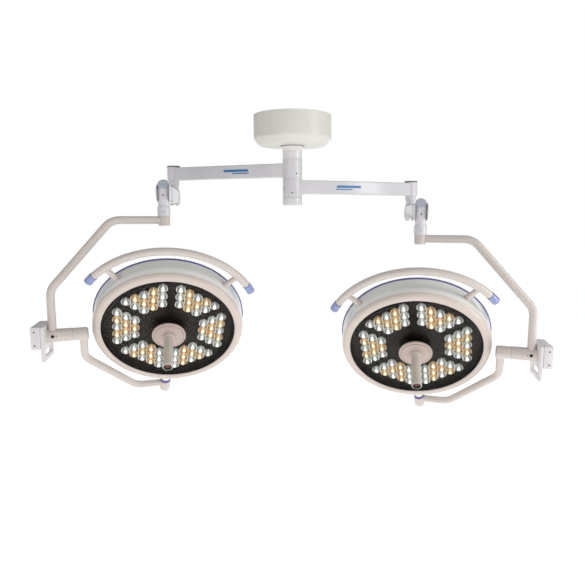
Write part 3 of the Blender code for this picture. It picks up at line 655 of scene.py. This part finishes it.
# Arms -----------------------------------------------------
def horizontal_arm(side):
    put = side.placer("arm", "arm")
    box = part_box(f"{side.name}_horizontal_arm")
    root = side.frames["arm"].translation.z
    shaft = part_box("column_end_cap")[1].x
    cap_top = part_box("column_end_cap")[1].z - root
    if side.name == "left":
        top, foot = box[1].z - root, cap_top + 0.1011
    else:
        top, foot = cap_top + 0.1008, cap_top + 0.0006
    reach = side.reach
    sleeve = band(0.0304, shaft, foot, top, 96, 0.0012)
    beam = slab((0.038, -0.03, -0.037), (reach - 0.018, 0.03, 0.037), 0.0065)
    hub = moved(band(0.0179, 0.0369, -0.038, 0.041, 72, 0.0015), (reach, 0, 0))
    bores = [rod(0.0304, -0.1, 0.1, 72), moved(rod(0.0179, -0.1, 0.1, 48), (reach, 0, 0))]
    whole = cut(fused(sleeve, beam, hub), *bores)
    heading = radians(23.3)
    spots = ((-115, 0.025),) if side.name == "left" else ((-92, 0.0246), (-149, 0.047))
    screws = [(shaft, radians(turn) - heading, (0, 0, foot + rise), 0.0036) for turn, rise in spots]
    screws += [
        (0.0369, radians(-45), (reach, 0, -0.028), 0.003), (0.0369, radians(60), (reach, 0, -0.028), 0.003)
    ]
    for number, (radius, angle, place, size) in enumerate(screws):
        way = polar(1, angle)
        hole = along(rod(size + 0.0003, radius - 0.005, radius + 0.01, 24), way, place)
        whole = cut(whole, hole)
        screw = set_screw(size, radius - 0.0012, way, place)
        put(f"arm_screw_{number}", screw, screw_black, "arm_paint")
    put("arm_beam", whole, paint, "arm_paint", ["horizontal_arm"])
    cap = lathe(
        [
            (0, 0.0413), (0.0381, 0.0413, 0.0006), (0.0381, 0.0448, 0.0012), (0.0345, 0.0478, 0.003),
            (0.012, 0.0488, 0.002), (0, 0.0488),
        ],
        72,
    )
    put("hub_top_cap", moved(cap, (reach, 0, 0)), dark_plastic, "cap_plastic", ["hub_cap"])
    mark_face = -0.03 - 0.0002
    long_bar = [(0.248, -0.0005), (0.256, 0.0125), (0.408, 0.0125), (0.4, -0.0005)]
    short_bar = [(0.245, -0.0115), (0.2475, -0.0055), (0.352, -0.0055), (0.3495, -0.0115)]
    for name, corners in (("long", long_bar), ("short", short_bar)):
        bar = prism([(*corner, 0.0012) for corner in corners], 0, 0.0004, 0.0001, 1)
        bar = moved(spun(bar, pi / 2, "X"), (0, mark_face + 0.0001, 0))
        put(f"arm_mark_{name}", bar, mark_ink, "arm_paint")


def rear_joint(side):
    put = side.placer("hub", "rear_joint")
    top = side.arm_height - 0.0383
    foot = top - 0.03
    profile = [
        (0, -0.049), (0.0263, -0.049, 0.003), (0.0263, foot - 0.002, 0.002), (0.0308, foot + 0.002, 0.0016),
        (0.0308, top, 0.0014), (0.0175, top), (0.0175, top + 0.075), (0, top + 0.075),
    ]
    heel = along(slab((-0.08, -0.05, 0.0), (0.08, 0.05, 0.06)), Vector((-1, 0, -0.8)), (-0.02, 0, -0.03))
    slot = slab((-0.012, -0.006, -0.07), (0.05, 0.006, -0.0125))
    body = cut(lathe(profile, 64), heel, slot)
    put("rear_post", body, paint, "arm_paint", ["rear_knuckle"])
    for number, angle in enumerate((radians(100), radians(-80))):
        way = polar(1, angle)
        screw = set_screw(0.0032, 0.0302, way, (0, 0, foot + 0.018))
        put(f"rear_screw_{number}", screw, screw_black, "arm_paint")


def balance_arm(side):
    put = side.placer("hub", "balance_arm")
    length = side.balance
    half_width, half_height = 0.0315, 0.0375

    def section(start, end, inset, edge=0.0, segments=4):
        """A box along the arm, inset from the arm's outline."""
        wide, tall = half_width - inset, half_height - inset
        return slab((start, -wide, -tall), (end, wide, tall), edge, segments)

    body = section(0.0, length, 0, 0.008)
    cheeks = []
    rise = [(0.042, -0.003, 0.004), (0.0335, 0.0008, 0.008), (0.016, 0.0023, 0.01), (0, 0.0025)]
    upper = lifted(rise, half_width)
    lower = [(corner[0], -corner[1], *corner[2:]) for corner in upper[::-1]]
    for x in (0.0, length):
        cheek = lathe(lower + upper, 72)
        cheeks.append(along(cheek, (0, 1, 0), (x, 0, 0)))
    inner = half_width - 0.0035
    hollows = [
        section(-0.1, length + 0.1, 0.0035),
        slab((-0.1, -inner, -0.1), (0.06, inner, 0.1)),
        slab((length - 0.074, -inner, -0.1), (length + 0.1, inner, 0.1)),
    ]
    whole = cut(fused(body, *cheeks), *hollows)
    put("balance_shell", whole, paint, "arm_paint", ["spring_arm"], 40)
    for end, x in (("rear", 0.0), ("front", length)):
        for face, way in (("in", 1), ("out", -1)):
            cover = lathe(
                [(0, 0), (0.0145, 0, 0.0004), (0.0138, 0.0008, 0.0004), (0.005, 0.0009), (0, 0.0012)], 48
            )
            place = (x, way * (half_width + 0.0024), 0)
            cover = along(cover, (0, way, 0), place)
            put(f"pivot_cover_{end}_{face}", cover, paint, "cap_plastic")
            washer = along(band(0.01, 0.0215, 0.0264, 0.0279), (0, way, 0), (x, 0, 0))
            put(f"pivot_washer_{end}_{face}", washer, paint, "arm_paint")
    for number, x in enumerate((0.1, length - 0.11)):
        strap = section(x, x + 0.0015, -0.0006, 0.0005, 2)
        hollow = section(x - 0.01, x + 0.02, 0.002)
        put(f"balance_band_{number}", cut(strap, hollow), dark_plastic, "cap_plastic")
    adjuster = along(
        lathe(
            [
                (0, 0), (0.0085, 0, 0.0006), (0.0085, 0.0022, 0.0008), (0.0048, 0.0022), (0.0048, 0.0006),
                (0, 0.0006)
            ],
            40
        ),
        (0, 0, 1), (0.16, 0, half_height)
    )
    put("balance_adjuster", adjuster, screw_black, "cap_plastic")

    coil = []
    turns, start, end, radius = 26, 0.118, 0.512, 0.0163
    for step in range(turns * 20 + 1):
        angle = 2 * pi * step / 20
        x = start + (end - start) * step / (turns * 20)
        coil.append((x, radius * cos(angle), 0.01 + radius * sin(angle)))
    spring = pipe(coil, 0.0026, 10)
    put("balance_coil", spring, steel, "pin_steel", ["balance_spring"])


def front_joint(side):
    put = side.placer("front", "front_joint")
    spindle_foot, socket_foot, socket_top, waist = -0.146, -0.1065, -0.066, -0.056
    profile = [
        (0, spindle_foot), (0.0175, spindle_foot), (0.0175, socket_foot), (0.0298, socket_foot, 0.0012),
        (0.0298, socket_top - 0.002, 0.004), (0.0253, waist, 0.006), (0.0263, waist + 0.012, 0.006),
        (0.0263, 0.07), (0, 0.07),
    ]
    slope = Vector((0.65, 0, 0.76)).normalized()
    seat = Vector((0.0, 0, 0.039))
    tools = [
        along(slab((-0.08, -0.05, 0.0), (0.08, 0.05, 0.08)), slope, seat),
        slab((-0.05, -0.006, -0.048), (-0.009, 0.006, 0.0135)),
        slab((-0.0095, -0.006, -0.048), (0.012, 0.006, -0.012)),
    ]
    heights = (("upper", -0.0105, 0.0263, 0.0034, screw_black), ("lower", -0.0865, 0.0298, 0.003, zinc))
    for _, height, radius, size, _ in heights:
        tools.append(along(rod(size + 0.0003, radius - 0.004, radius + 0.01, 24), (1, 0, 0), (0, 0, height)))
    put("front_post", cut(lathe(profile, 64), *tools), paint, "arm_paint", ["front_knuckle"], 36)
    for name, height, radius, size, look in heights:
        screw = set_screw(size, radius - 0.001, (1, 0, 0), (0, 0, height))
        put(f"front_screw_{name}", screw, look, "arm_paint")
    cap = lathe(
        [(0, 0.0003), (0.0262, 0.0003, 0.0008), (0.0262, 0.003, 0.0012), (0.0222, 0.005, 0.003), (0, 0.0056)],
        64
    )
    bmesh.ops.scale(cap, vec=(1.316, 1.0, 1.0), verts=cap.verts)
    spun(cap, atan2(slope.x, slope.z), "Y")
    put("front_slant_cap", moved(cap, seat), knuckle_plastic, "knuckle_cap_plastic", ["front_knuckle_cap"])


# Gooseneck, controls and yoke -----------------------------
KNEE, NECK_REACH, NECK_DROP, NECK_SLOPE = 0.238, 0.511, 0.125, radians(48.5)
TUBE, LATERAL, LATERAL_SEAM, BRACKET_FACE = 0.0183, 0.0292, 0.427, 0.531
CONTROLS_TURN = radians(10)


def gooseneck(side):
    put = side.placer("gooseneck", "gooseneck_arm")
    drop = side.axis_drop
    slope_drop = (NECK_REACH - KNEE) * tan(NECK_SLOPE)
    route = bent(
        [
            (0, 0, -NECK_DROP), (KNEE, 0, -NECK_DROP), (NECK_REACH, 0, -NECK_DROP - slope_drop),
            (NECK_REACH, 0, -drop)
        ], 0.085
    )
    top, foot = -0.1068, -0.1513
    collar = rod(0.0271, foot, top, 72, (0.002, 0.001))
    housing = rod(0.03, LATERAL_SEAM + 0.0003, BRACKET_FACE + 0.02, 72, (0.0012, 0))
    housing = along(housing, (1, 0, 0), (0, 0, -drop))
    mitre = moved(spun(slab((0, -0.1, -0.1), (0.1, 0.1, 0.1)), CONTROLS_TURN), (BRACKET_FACE, 0, -drop))
    swivel_bore = rod(0.018, foot + 0.004, 0, 48)
    lateral_bore = along(rod(0.02, 0.4, BRACKET_FACE - 0.012, 48), (1, 0, 0), (0, 0, -drop))
    holes = ((0.5105, 0.0075), (0.4955, 0.0028))
    bores = [along(rod(size, 0.021, 0.06, 36), (0, -1, 0), (x, 0, -drop)) for x, size in holes]
    whole = fused(pipe(route, TUBE, 48), collar, housing)
    whole = cut(whole, swivel_bore, lateral_bore, mitre, *bores)
    put("gooseneck_tube", whole, tube_paint, "tube_paint", ["gooseneck"], 38)
    plug = cut(rod(0.0073, 0.0205, 0.0262, 36, (0, 0.001)), rod(0.004, 0.0235, 0.03, 6))
    plug = along(plug, (0, -1, 0), (0.5105, 0, -drop))
    put("brake_screw", plug, screw_black, "pin_steel")
    small = set_screw(0.0026, 0.0285, (0, -1, 0), (0.4955, 0, -drop))
    put("brake_lock_screw", small, screw_black, "pin_steel")


def controls(side):
    put = side.placer("controls", "gooseneck_arm")
    shift = Matrix.Translation((BRACKET_FACE, 0, -side.axis_drop)) @ Matrix.Rotation(CONTROLS_TURN, 4, "Z")
    side.frames["controls"] = side.frames["gooseneck"] @ shift
    front, back, top, foot, box_foot = -0.07, 0.095, 0.053, -0.106, -0.047
    face, thick, bar = 0.0003, 0.0155, 0.02
    plate = prism(rectangle(front, foot, back, top, 0.009, 0.006), face, face + thick, 0.0045, 5)
    window = prism(rectangle(front + bar, foot + bar, back - bar, box_foot - 0.004, 0.008, 0.008), -0.1, 0.1)
    stand = Matrix(((0, 0, 1), (1, 0, 0), (0, 1, 0)))
    put(
        "grip_loop", cut(turned(plate, stand), turned(window, stand)), box_paint, "box_paint", ["grip_bracket"],
        40
    )
    inner = face + thick + 0.0003
    box = slab((inner, front, box_foot), (inner + 0.04, back, top), 0.0035, 4)
    seam = slab((inner + 0.0125, front - 0.01, box_foot - 0.01), (inner + 0.0133, back + 0.01, top + 0.01))
    seam = cut(
        seam, slab((inner, front + 0.0012, box_foot + 0.0012), (inner + 0.05, back - 0.0012, top - 0.0012))
    )
    put("control_case", cut(box, seam), box_paint, "box_paint", ["control_box"], 40)
    for number, (x, z) in enumerate(((inner + 0.024, top - 0.022), (inner + 0.024, box_foot + 0.018))):
        screw = along(dome_screw(0.0034), (0, -1, 0), (x, front, z))
        put(f"case_screw_{number}", screw, screw_black, "pin_steel")
    spots = [(y, z) for z in (top - 0.01, box_foot + 0.01) for y in (front + 0.01, back - 0.01)]
    for number, (y, z) in enumerate(spots):
        screw = along(dome_screw(0.003), (1, 0, 0), (inner + 0.04, y, z))
        put(f"face_screw_{number}", screw, screw_black, "pin_steel")
    face_x = inner + 0.04
    film = rectangle(front + 0.02, box_foot + 0.014, back - 0.02, top - 0.014, 0.006, 0.006)
    film = prism(film, face_x, face_x + 0.0006, 0.0002, 1)
    key = [(0, 0.0005), (0.0098, 0.0005), (0.0098, 0.0013, 0.0005), (0.008, 0.001, 0.0005), (0, 0.001)]
    lamp = [(0, 0.0005), (0.0022, 0.0005), (0.0018, 0.0014, 0.0006), (0, 0.0016)]
    keys = []
    for column in range(4):
        for row in range(2):
            y = front + 0.038 + 0.03 * column
            z = box_foot + 0.036 + 0.03 * row
            keys.append(moved(lathe(lifted(key, face_x), 32), (y, z, 0)))
    lamps = [
        moved(
            lathe(lifted(lamp, face_x), 16), (front + 0.036 + 0.0188 * k, box_foot + 0.0195, 0)
        ) for k in range(6)
    ]
    for name, shape, look in (
        ("keypad", film, keypad_film), ("keypad_keys", joined(*keys), key_film),
        ("keypad_lamps", joined(*lamps), button_plastic)
    ):
        put(name, turned(shape, stand), look, "cap_plastic")


def yoke(side):
    put = side.placer("yoke", "yoke")
    leg, base, chamfer, shift = 0.381, 0.402, 0.541, side.head_shift
    route = bent([(leg, 0, 0), (leg, chamfer - leg, 0), (chamfer - base, base, 0), (shift, base, 0)], 0.09)
    sleeve = along(rod(LATERAL, 0.362, LATERAL_SEAM, 72, (0.004, 0.0012)), (1, 0, 0))
    spindle = along(rod(0.0195, LATERAL_SEAM - 0.01, BRACKET_FACE - 0.034, 48), (1, 0, 0))
    knuckle = along(rod(0.0262, 0.3838, 0.45, 72, (0.0012, 0.009)), (0, 1, 0), (shift, 0, 0))
    bore = along(rod(0.0125, 0.34, 0.444, 48), (0, 1, 0), (shift, 0, 0))
    whole = cut(fused(pipe(route, TUBE - 0.0003, 48), sleeve, spindle, knuckle), bore)
    put("yoke_tube", whole, tube_paint, "tube_paint", ["yoke_arm"], 38)
    cap = along(lathe([(0, -0.3622), (0.0262, -0.3622), (0.024, -0.3598, 0.001), (0, -0.359)], 64), (-1, 0, 0))
    put("yoke_end_disc", cap, dark_plastic, "swivel_plastic")
    ring = along(
        lathe(
            [
                (0.0125, 0.3672), (0.0262, 0.3672, 0.0012), (0.0262, 0.3736, 0.0008), (0.0252, 0.3744),
                (0.0262, 0.3752, 0.0008), (0.0262, 0.3834, 0.0012), (0.0125, 0.3834)
            ],
            72, closed=True
        ),
        (0, 1, 0), (shift, 0, 0),
    )
    put("yoke_purple_ring", ring, ring_plastic, "swivel_plastic", ["yoke_swivel_ring"])
    screw = set_screw(0.003, 0.4493, (0, 1, 0), (shift, 0, 0))
    put("yoke_knuckle_screw", screw, screw_black, "pin_steel")


# Head -----------------------------------------------------
GASKET, RIM, COVER, RIM_FACE, GROOVE = 0.36, 0.352, 0.313, -0.032, 0.074
BOARD, LENS_FACE, PITCH, ROW = 0.004, -0.01, 0.0465, 0.2
KNOB, NECK, GRIP, TIP, STAND = 0.079, 0.034, 0.023, -0.254, 0.026


def head_shell(side):
    put = side.placer("head", "head")
    outer_back = [
        (GASKET - 0.004, 0, 0.001), (GASKET - 0.0075, 0), (GASKET - 0.0075, 0.01),
        (GASKET - 0.004, 0.01, 0.001), (GASKET - 0.011, 0.019, 0.012), (0.315, 0.031, 0.03),
        (0.22, 0.045, 0.05), (0, 0.052),
    ]
    outer = [
        (GASKET - 0.0065, 0.014), (GASKET - 0.01, 0.042, 0.03), *lifted(outer_back, GROOVE),
    ]
    inner = [
        *lifted([(0, 0.049), (0.219, 0.042), (0.313, 0.028), (GASKET - 0.0155, 0.015)], GROOVE),
        (GASKET - 0.0135, 0.042), (GASKET - 0.01, 0.014),
    ]
    shell = lathe(outer[::-1] + inner[::-1], 144)
    boss = along(rod(0.024, 0.344, 0.3668, 64, (0, 0.002)), (0, 1, 0))
    stub = along(rod(0.0121, 0.34, 0.44, 40), (0, 1, 0))
    shell = fused(shell, boss, stub)
    put("head_shell", shell, head_paint, "head_paint", ["head_housing"], 30)
    gasket = [
        (GASKET - 0.007, 0.0003), (GASKET, 0.0003, 0.0022), (GASKET, 0.007, 0.003),
        (GASKET - 0.003, 0.0096, 0.001), (GASKET - 0.007, 0.0096),
    ]
    gasket = lathe(lifted(gasket, GROOVE), 144, closed=True)
    put("head_seal", gasket, gasket_rubber, "gasket_rubber", ["head_gasket"])
    lid = [
        (0, 0.0505), (0.138, 0.0465), (0.138, 0.0505, 0.002), (0.118, 0.052, 0.004), (0, 0.053),
    ]
    put("head_back_lid", lathe(lifted(lid, GROOVE), 96), head_paint, "head_paint")
    for number in range(6):
        angle = radians(60 * number + 30)
        screw = moved(dome_screw(0.0042), polar(0.1285, angle, GROOVE + 0.0508))
        put(f"lid_screw_{number}", screw, steel, "pin_steel")
    for number in range(4):
        angle = radians(90 * number + 45)
        fin = slab((0.16, -0.0022, GROOVE + 0.04), (0.262, 0.0022, GROOVE + 0.0515), 0.002)
        put(f"head_rib_{number}", spun(fin, angle), head_paint, "head_paint")

    rim = [
        (RIM - 0.0004, -0.012), (RIM - 0.0012, -0.0185, 0.01), (RIM - 0.009, -0.0285, 0.012),
        (RIM - 0.019, RIM_FACE, 0.012), (COVER + 0.005, RIM_FACE, 0.004), (COVER, RIM_FACE + 0.004, 0.002),
        (COVER, RIM_FACE + 0.006), (RIM - 0.02, RIM_FACE + 0.006), (RIM - 0.007, -0.019), (RIM - 0.006, -0.012),
    ]
    collar = [
        (GASKET - 0.006, 0.0137), (RIM + 0.001, 0.001, 0.01), (RIM - 0.0004, -0.0117), (RIM - 0.006, -0.0117),
        (GASKET - 0.01, 0.0137),
    ]
    for name, profile, look, nodes, slot in (
        ("rim_ring", rim, rim_paint, ["front_ring"], "rim_paint"),
        ("rim_collar", collar, head_paint, [], "head_paint"),
    ):
        room = along(rod(0.0245, 0.33, 0.39), (0, 1, 0))
        put(name, cut(lathe(profile, 144, closed=True), room), look, slot, nodes, 30)

    face = RIM_FACE + 0.0063
    cover = band(NECK + 0.0015, RIM - 0.026, face, face + 0.003)
    glass = put("clear_front", cover, cover_clear, "clear_cover", ["front_cover"], 20)
    glass.visible_shadow = False
    wall = [(0.326, face + 0.004), (0.3275, face + 0.004), (0.333, BOARD - 0.0006), (0.3315, BOARD - 0.0006)]
    wall = lathe(wall, 144, closed=True)
    put("inner_reflector", wall, board_coat, "board_black")
    clips = []
    for number in range(14):
        clip = slab((0.308, -0.0045, face + 0.0035), (0.3255, 0.0045, face + 0.0075), 0.001, 2)
        clips.append(spun(clip, 2 * pi * (number + 0.5) / 14))
    put("cover_clips", joined(*clips), screw_black, "board_black")


def lens_spots():
    """Each lens's place and whether it is warm: six groups of rows of five, four and three."""
    step = PITCH * sqrt(3) / 2
    rows = [(ROW + step, "WYWYW"), (ROW, "WYYW"), (ROW - step, "WYW")]
    spots = []
    for group in range(6):
        turn = group * pi / 3
        for radius, kinds in rows:
            for number, kind in enumerate(kinds):
                across = (number - (len(kinds) - 1) / 2) * PITCH
                x, y = radius * cos(turn) - across * sin(turn), radius * sin(turn) + across * cos(turn)
                spots.append((x, y, kind == "Y"))
    return spots


def lens_sheet(spots, profile, steps):
    """Many lenses in one mesh, each with its own round UV coordinates."""
    shape = bmesh.new()
    layer = shape.loops.layers.uv.new("UVMap")
    size = max(radius for radius, _ in profile)
    for x, y in spots:
        rings = []
        for radius, height in profile:
            if radius < 1e-6:
                rings.append([shape.verts.new((x, y, height))])
            else:
                rings.append([
                    shape.verts.new((x + radius * cos(angle), y + radius * sin(angle), height))
                    for angle in (2 * pi * step / steps for step in range(steps))
                ])
        for face in skin(shape, rings, steps) + [shape.faces.new(rings[0][::-1])]:
            for loop in face.loops:
                offset = ((loop.vert.co.x - x) / size, (loop.vert.co.y - y) / size)
                loop[layer].uv = (0.5 + 0.5 * offset[0], 0.5 + 0.5 * offset[1])
    bmesh.ops.recalc_face_normals(shape, faces=shape.faces)
    return shape


def led_engine(side):
    put = side.placer("head", "head")
    board = rod(RIM - 0.015, BOARD + 0.003, BOARD, 144, (0.0006, 0.0006))
    put("black_board", board, board_coat, "board_black", ["led_board"])
    sheet_back, sheet_face = BOARD - 0.0003, BOARD - 0.0033
    sheet = lathe(
        [(0.07, sheet_back), (0.07, sheet_face), (0.282, sheet_face, 0.001), (0.282, sheet_back)], 144,
        closed=True
    )
    put("lens_carrier", sheet, board_coat, "board_black", ["led_lens_array"])
    dome = [
        (0.0217, sheet_face + 0.0002), (0.0221, -0.002), (0.0221, LENS_FACE + 0.0018), (0.0215, LENS_FACE),
        (0.0203, LENS_FACE)
    ]
    bulge, crown = 0.0201, 0.01
    for step in range(9):
        angle = radians(90) * step / 8
        dome.append(
            (bulge * cos(angle), LENS_FACE - crown * sin(angle)) if step < 8 else (0.0, LENS_FACE - crown)
        )
    for name, warm, look in (("white", False, lens_white), ("warm", True, lens_warm)):
        spots = [(x, y) for x, y, is_warm in lens_spots() if is_warm == warm]
        put(f"lenses_{name}", lens_sheet(spots, dome, 28), look, "lens_acrylic", sharp=50)
    nuts = []
    for radius, count, start in ((0.108, 6, 0.5), (0.298, 12, 0.5)):
        for number in range(count):
            angle = 2 * pi * (number + start) / count
            nut = joined(
                rod(0.0048, sheet_face + 0.0005, sheet_face - 0.0012, 20, (0, 0.0005)),
                rod(0.0027, sheet_face - 0.001, sheet_face - 0.003, 6, (0, 0.0006)),
            )
            nuts.append(moved(nut, polar(radius, angle, 0.0 if radius < 0.28 else 0.0028)))
    put("board_screws", joined(*nuts), screw_black, "board_black")


def handle(side):
    bodies = ("focus_handle", "sterile_sleeve", "release_button")
    turning, sliding, pressed = [side.placer("head", body) for body in bodies]
    rim_face = RIM_FACE - STAND
    front = rim_face - 0.003
    back = BOARD - 0.004
    disc = [
        (NECK, 0.0128), (KNOB - 0.005, 0.0128, 0.002), (KNOB, 0.009, 0.003), (KNOB, 0, 0.0045),
        (KNOB - 0.0085, 0, 0.001), (KNOB - 0.0095, 0.0022, 0.0008), (KNOB - 0.012, 0.0022, 0.0008),
    ]
    knob = [
        (0, back), (NECK, back), *lifted(disc, rim_face), (KNOB - 0.0135, front, 0.002),
        (0.03, front - 0.0005, 0.002), (0.0135, front - 0.0005), (0.0135, TIP + 0.03), (0, TIP + 0.03),
    ]
    turning("focus_knob", lathe(knob[::-1], 96), knob_paint, "knob_paint", ["handle_base"], 35)
    neck = band(NECK + 0.0001, NECK + 0.001, BOARD - 0.004, rim_face + 0.0126)
    turning("knob_neck", neck, screw_black, "knob_paint")

    root = front - 0.0008
    end = [
        (GRIP, 0.026, 0.0004), (GRIP - 0.0009, 0.0256), (GRIP - 0.0009, 0.0244), (GRIP, 0.024, 0.0004),
        (GRIP, 0.002, 0.0015), (GRIP - 0.003, 0, 0.0012), (0.013, 0, 0.0008), (0.013, 0.02), (0.009, 0.02),
        (0.009, 0.024), (0.0139, 0.024),
    ]
    sleeve = [
        (0.0139, root), (GRIP + 0.004, root, 0.002), (GRIP + 0.004, root - 0.007, 0.003),
        (GRIP, root - 0.017, 0.008), *lifted(end, TIP),
    ]
    body = lathe(sleeve, 96, closed=True, flutes=12, depth=0.001, fluted=(TIP + 0.03, root - 0.02))
    sliding("sterile_grip", body, sleeve_plastic, "handle_plastic", ["handle_sleeve"], 35)
    lip = [
        (0.0126, 0.018), (0.0129, 0.0012), (0.0133, -0.0003), (GRIP - 0.004, -0.0003, 0.0003),
        (GRIP - 0.0038, 0.0004), (0.0131, 0.001), (0.0128, 0.018),
    ]
    lip = lathe(lifted(lip, TIP), 72, closed=True)
    sliding("tip_liner", lip, screw_black, "handle_plastic")
    button = [
        (0, 0.007, 0.0), (0.006, 0.0062, 0.003), (0.011, 0.006, 0.001), (0.0121, 0.0074, 0.001),
        (0.0121, 0.014), (0.0085, 0.014), (0.0085, 0.024), (0, 0.024),
    ]
    pressed("release_key", lathe(lifted(button, TIP), 48), button_plastic, "button_plastic", ["lock_button"])


def rail(side):
    put = side.placer("head", "head")
    half_angle, plane, size, thick = radians(51.5), 0.033, 0.434, 0.0175
    whole = pipe(arc(size, -half_angle, half_angle, 80, plane), thick, 48, (0.001, 0.001))
    foot = [
        (0.0126, GASKET - 0.01), (0.0165, GASKET - 0.01), (0.0165, GASKET - 0.0035, 0.002),
        (0.0126, GASKET - 0.0005, 0.001),
    ]
    feet = []
    for angle in (radians(-43), radians(43)):
        outward = Vector((sin(angle), -cos(angle), 0))
        post = rod(0.013, GASKET - 0.005, size, 48)
        whole = fused(whole, along(post, outward, (0, 0, plane)))
        feet.append(along(lathe(foot, 48, closed=True), outward, (0, 0, plane)))
    put("rail_tube", whole, tube_paint, "tube_paint", ["handle_rail"], 38)
    put("rail_feet", joined(*feet), tube_paint, "tube_paint")
    for node, way in (("rail_cap_outer", 1), ("rail_cap_inner", -1)):
        start, end = way * (half_angle + 0.0016 / size), way * (half_angle + 0.05 / size)
        cap = pipe(arc(size, start, end, 14, plane), thick + 0.002, 48, (0.0015, 0.01), 8)
        put(f"{node}_plug", cap, rail_plastic, "rail_cap_plastic", [node])


# Stage ----------------------------------------------------
def stage():
    floor_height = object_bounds()[0][2] - 0.55
    shape = bmesh.new()
    bmesh.ops.create_circle(shape, cap_ends=True, segments=96, radius=30)
    moved(shape, (0, 0, floor_height))
    mesh = mesh_of(shape, "floor")
    look, tree, shader = new_material("pale_floor", 0.65, Emission_Color=(1, 1, 1, 1), Emission_Strength=0.7)
    tree.links.new(
        ramp(tree, noise(tree, 3.0), (0.9, 0.9, 0.9), (0.93, 0.93, 0.93)), shader.inputs["Base Color"]
    )
    mesh.materials.append(look)
    floor = linked("floor", mesh)
    floor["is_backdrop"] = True

    world = bpy.data.worlds.new("studio")
    world.use_nodes = True
    bpy.context.scene.world = world
    nodes, links = world.node_tree.nodes, world.node_tree.links
    background = nodes["Background"]
    background.inputs["Color"].default_value = (1.0, 1.0, 1.0, 1.0)
    strength = nodes.new("ShaderNodeMapRange")
    strength.inputs["To Min"].default_value = WORLD_LIGHT
    strength.inputs["To Max"].default_value = 1.0
    links.new(nodes.new("ShaderNodeLightPath").outputs["Is Camera Ray"], strength.inputs["Value"])
    links.new(strength.outputs["Result"], background.inputs["Strength"])

    for name, place, aim, size, power, colour in LIGHTS:
        lamp = bpy.data.lights.new(name, "AREA")
        lamp.shape = "RECTANGLE"
        lamp.size, lamp.size_y = size
        lamp.energy = power
        lamp.color = colour
        holder = linked(name, lamp)
        holder.location = place
        holder.rotation_euler = (Vector(aim) - Vector(place)).to_track_quat("-Z", "Y").to_euler()


WORLD_LIGHT = 0.34
LIGHTS = (
    ("strip_right", (2.6, -1.3, -0.2), (0, 0, -0.5), (0.45, 2.4), 25, (1.0, 1.0, 1.0)),
    ("front_soft", (1.2, -3.6, 2.3), (0, 0, -0.8), (2.6, 2.0), 22, (1.0, 0.99, 0.98)),
    ("strip_left", (-2.4, -3.4, 0.3), (-0.4, 0, -0.6), (0.8, 2.0), 9, (1.0, 0.98, 0.98)),
    ("low_fill", (0.5, -2.6, -2.0), (0, 0, -0.8), (3.0, 1.2), 7, (1.0, 0.98, 0.97)),
    ("back_soft", (0.0, 3.6, 0.4), (0, 0, -0.7), (4.0, 2.0), 16, (0.97, 0.98, 1.0)),
)


def camera():
    lens = bpy.data.cameras.new("photo_camera")
    lens.sensor_width = 36.0
    lens.lens = 36.0 * 560 / 585
    holder = linked("photo_camera", lens)
    holder.location = (0.0, -3.05, -0.512)
    holder.rotation_euler = (radians(82), 0.0, 0.0)
    bpy.context.scene.camera = holder
    bpy.context.scene.view_settings.view_transform = "Standard"


PARTS = (
    horizontal_arm, rear_joint, balance_arm, front_joint, gooseneck, controls, yoke, head_shell, led_engine,
    handle, rail,
)

camera()
stage()
ceiling_group()
for side_name in ("left", "right"):
    one = Side(side_name)
    for build in PARTS:
        build(one)
    for node in ("rear_pivot_pin", "front_pivot_pin", "parallel_rod"):
        recoat(f"{side_name}_{node}", steel)
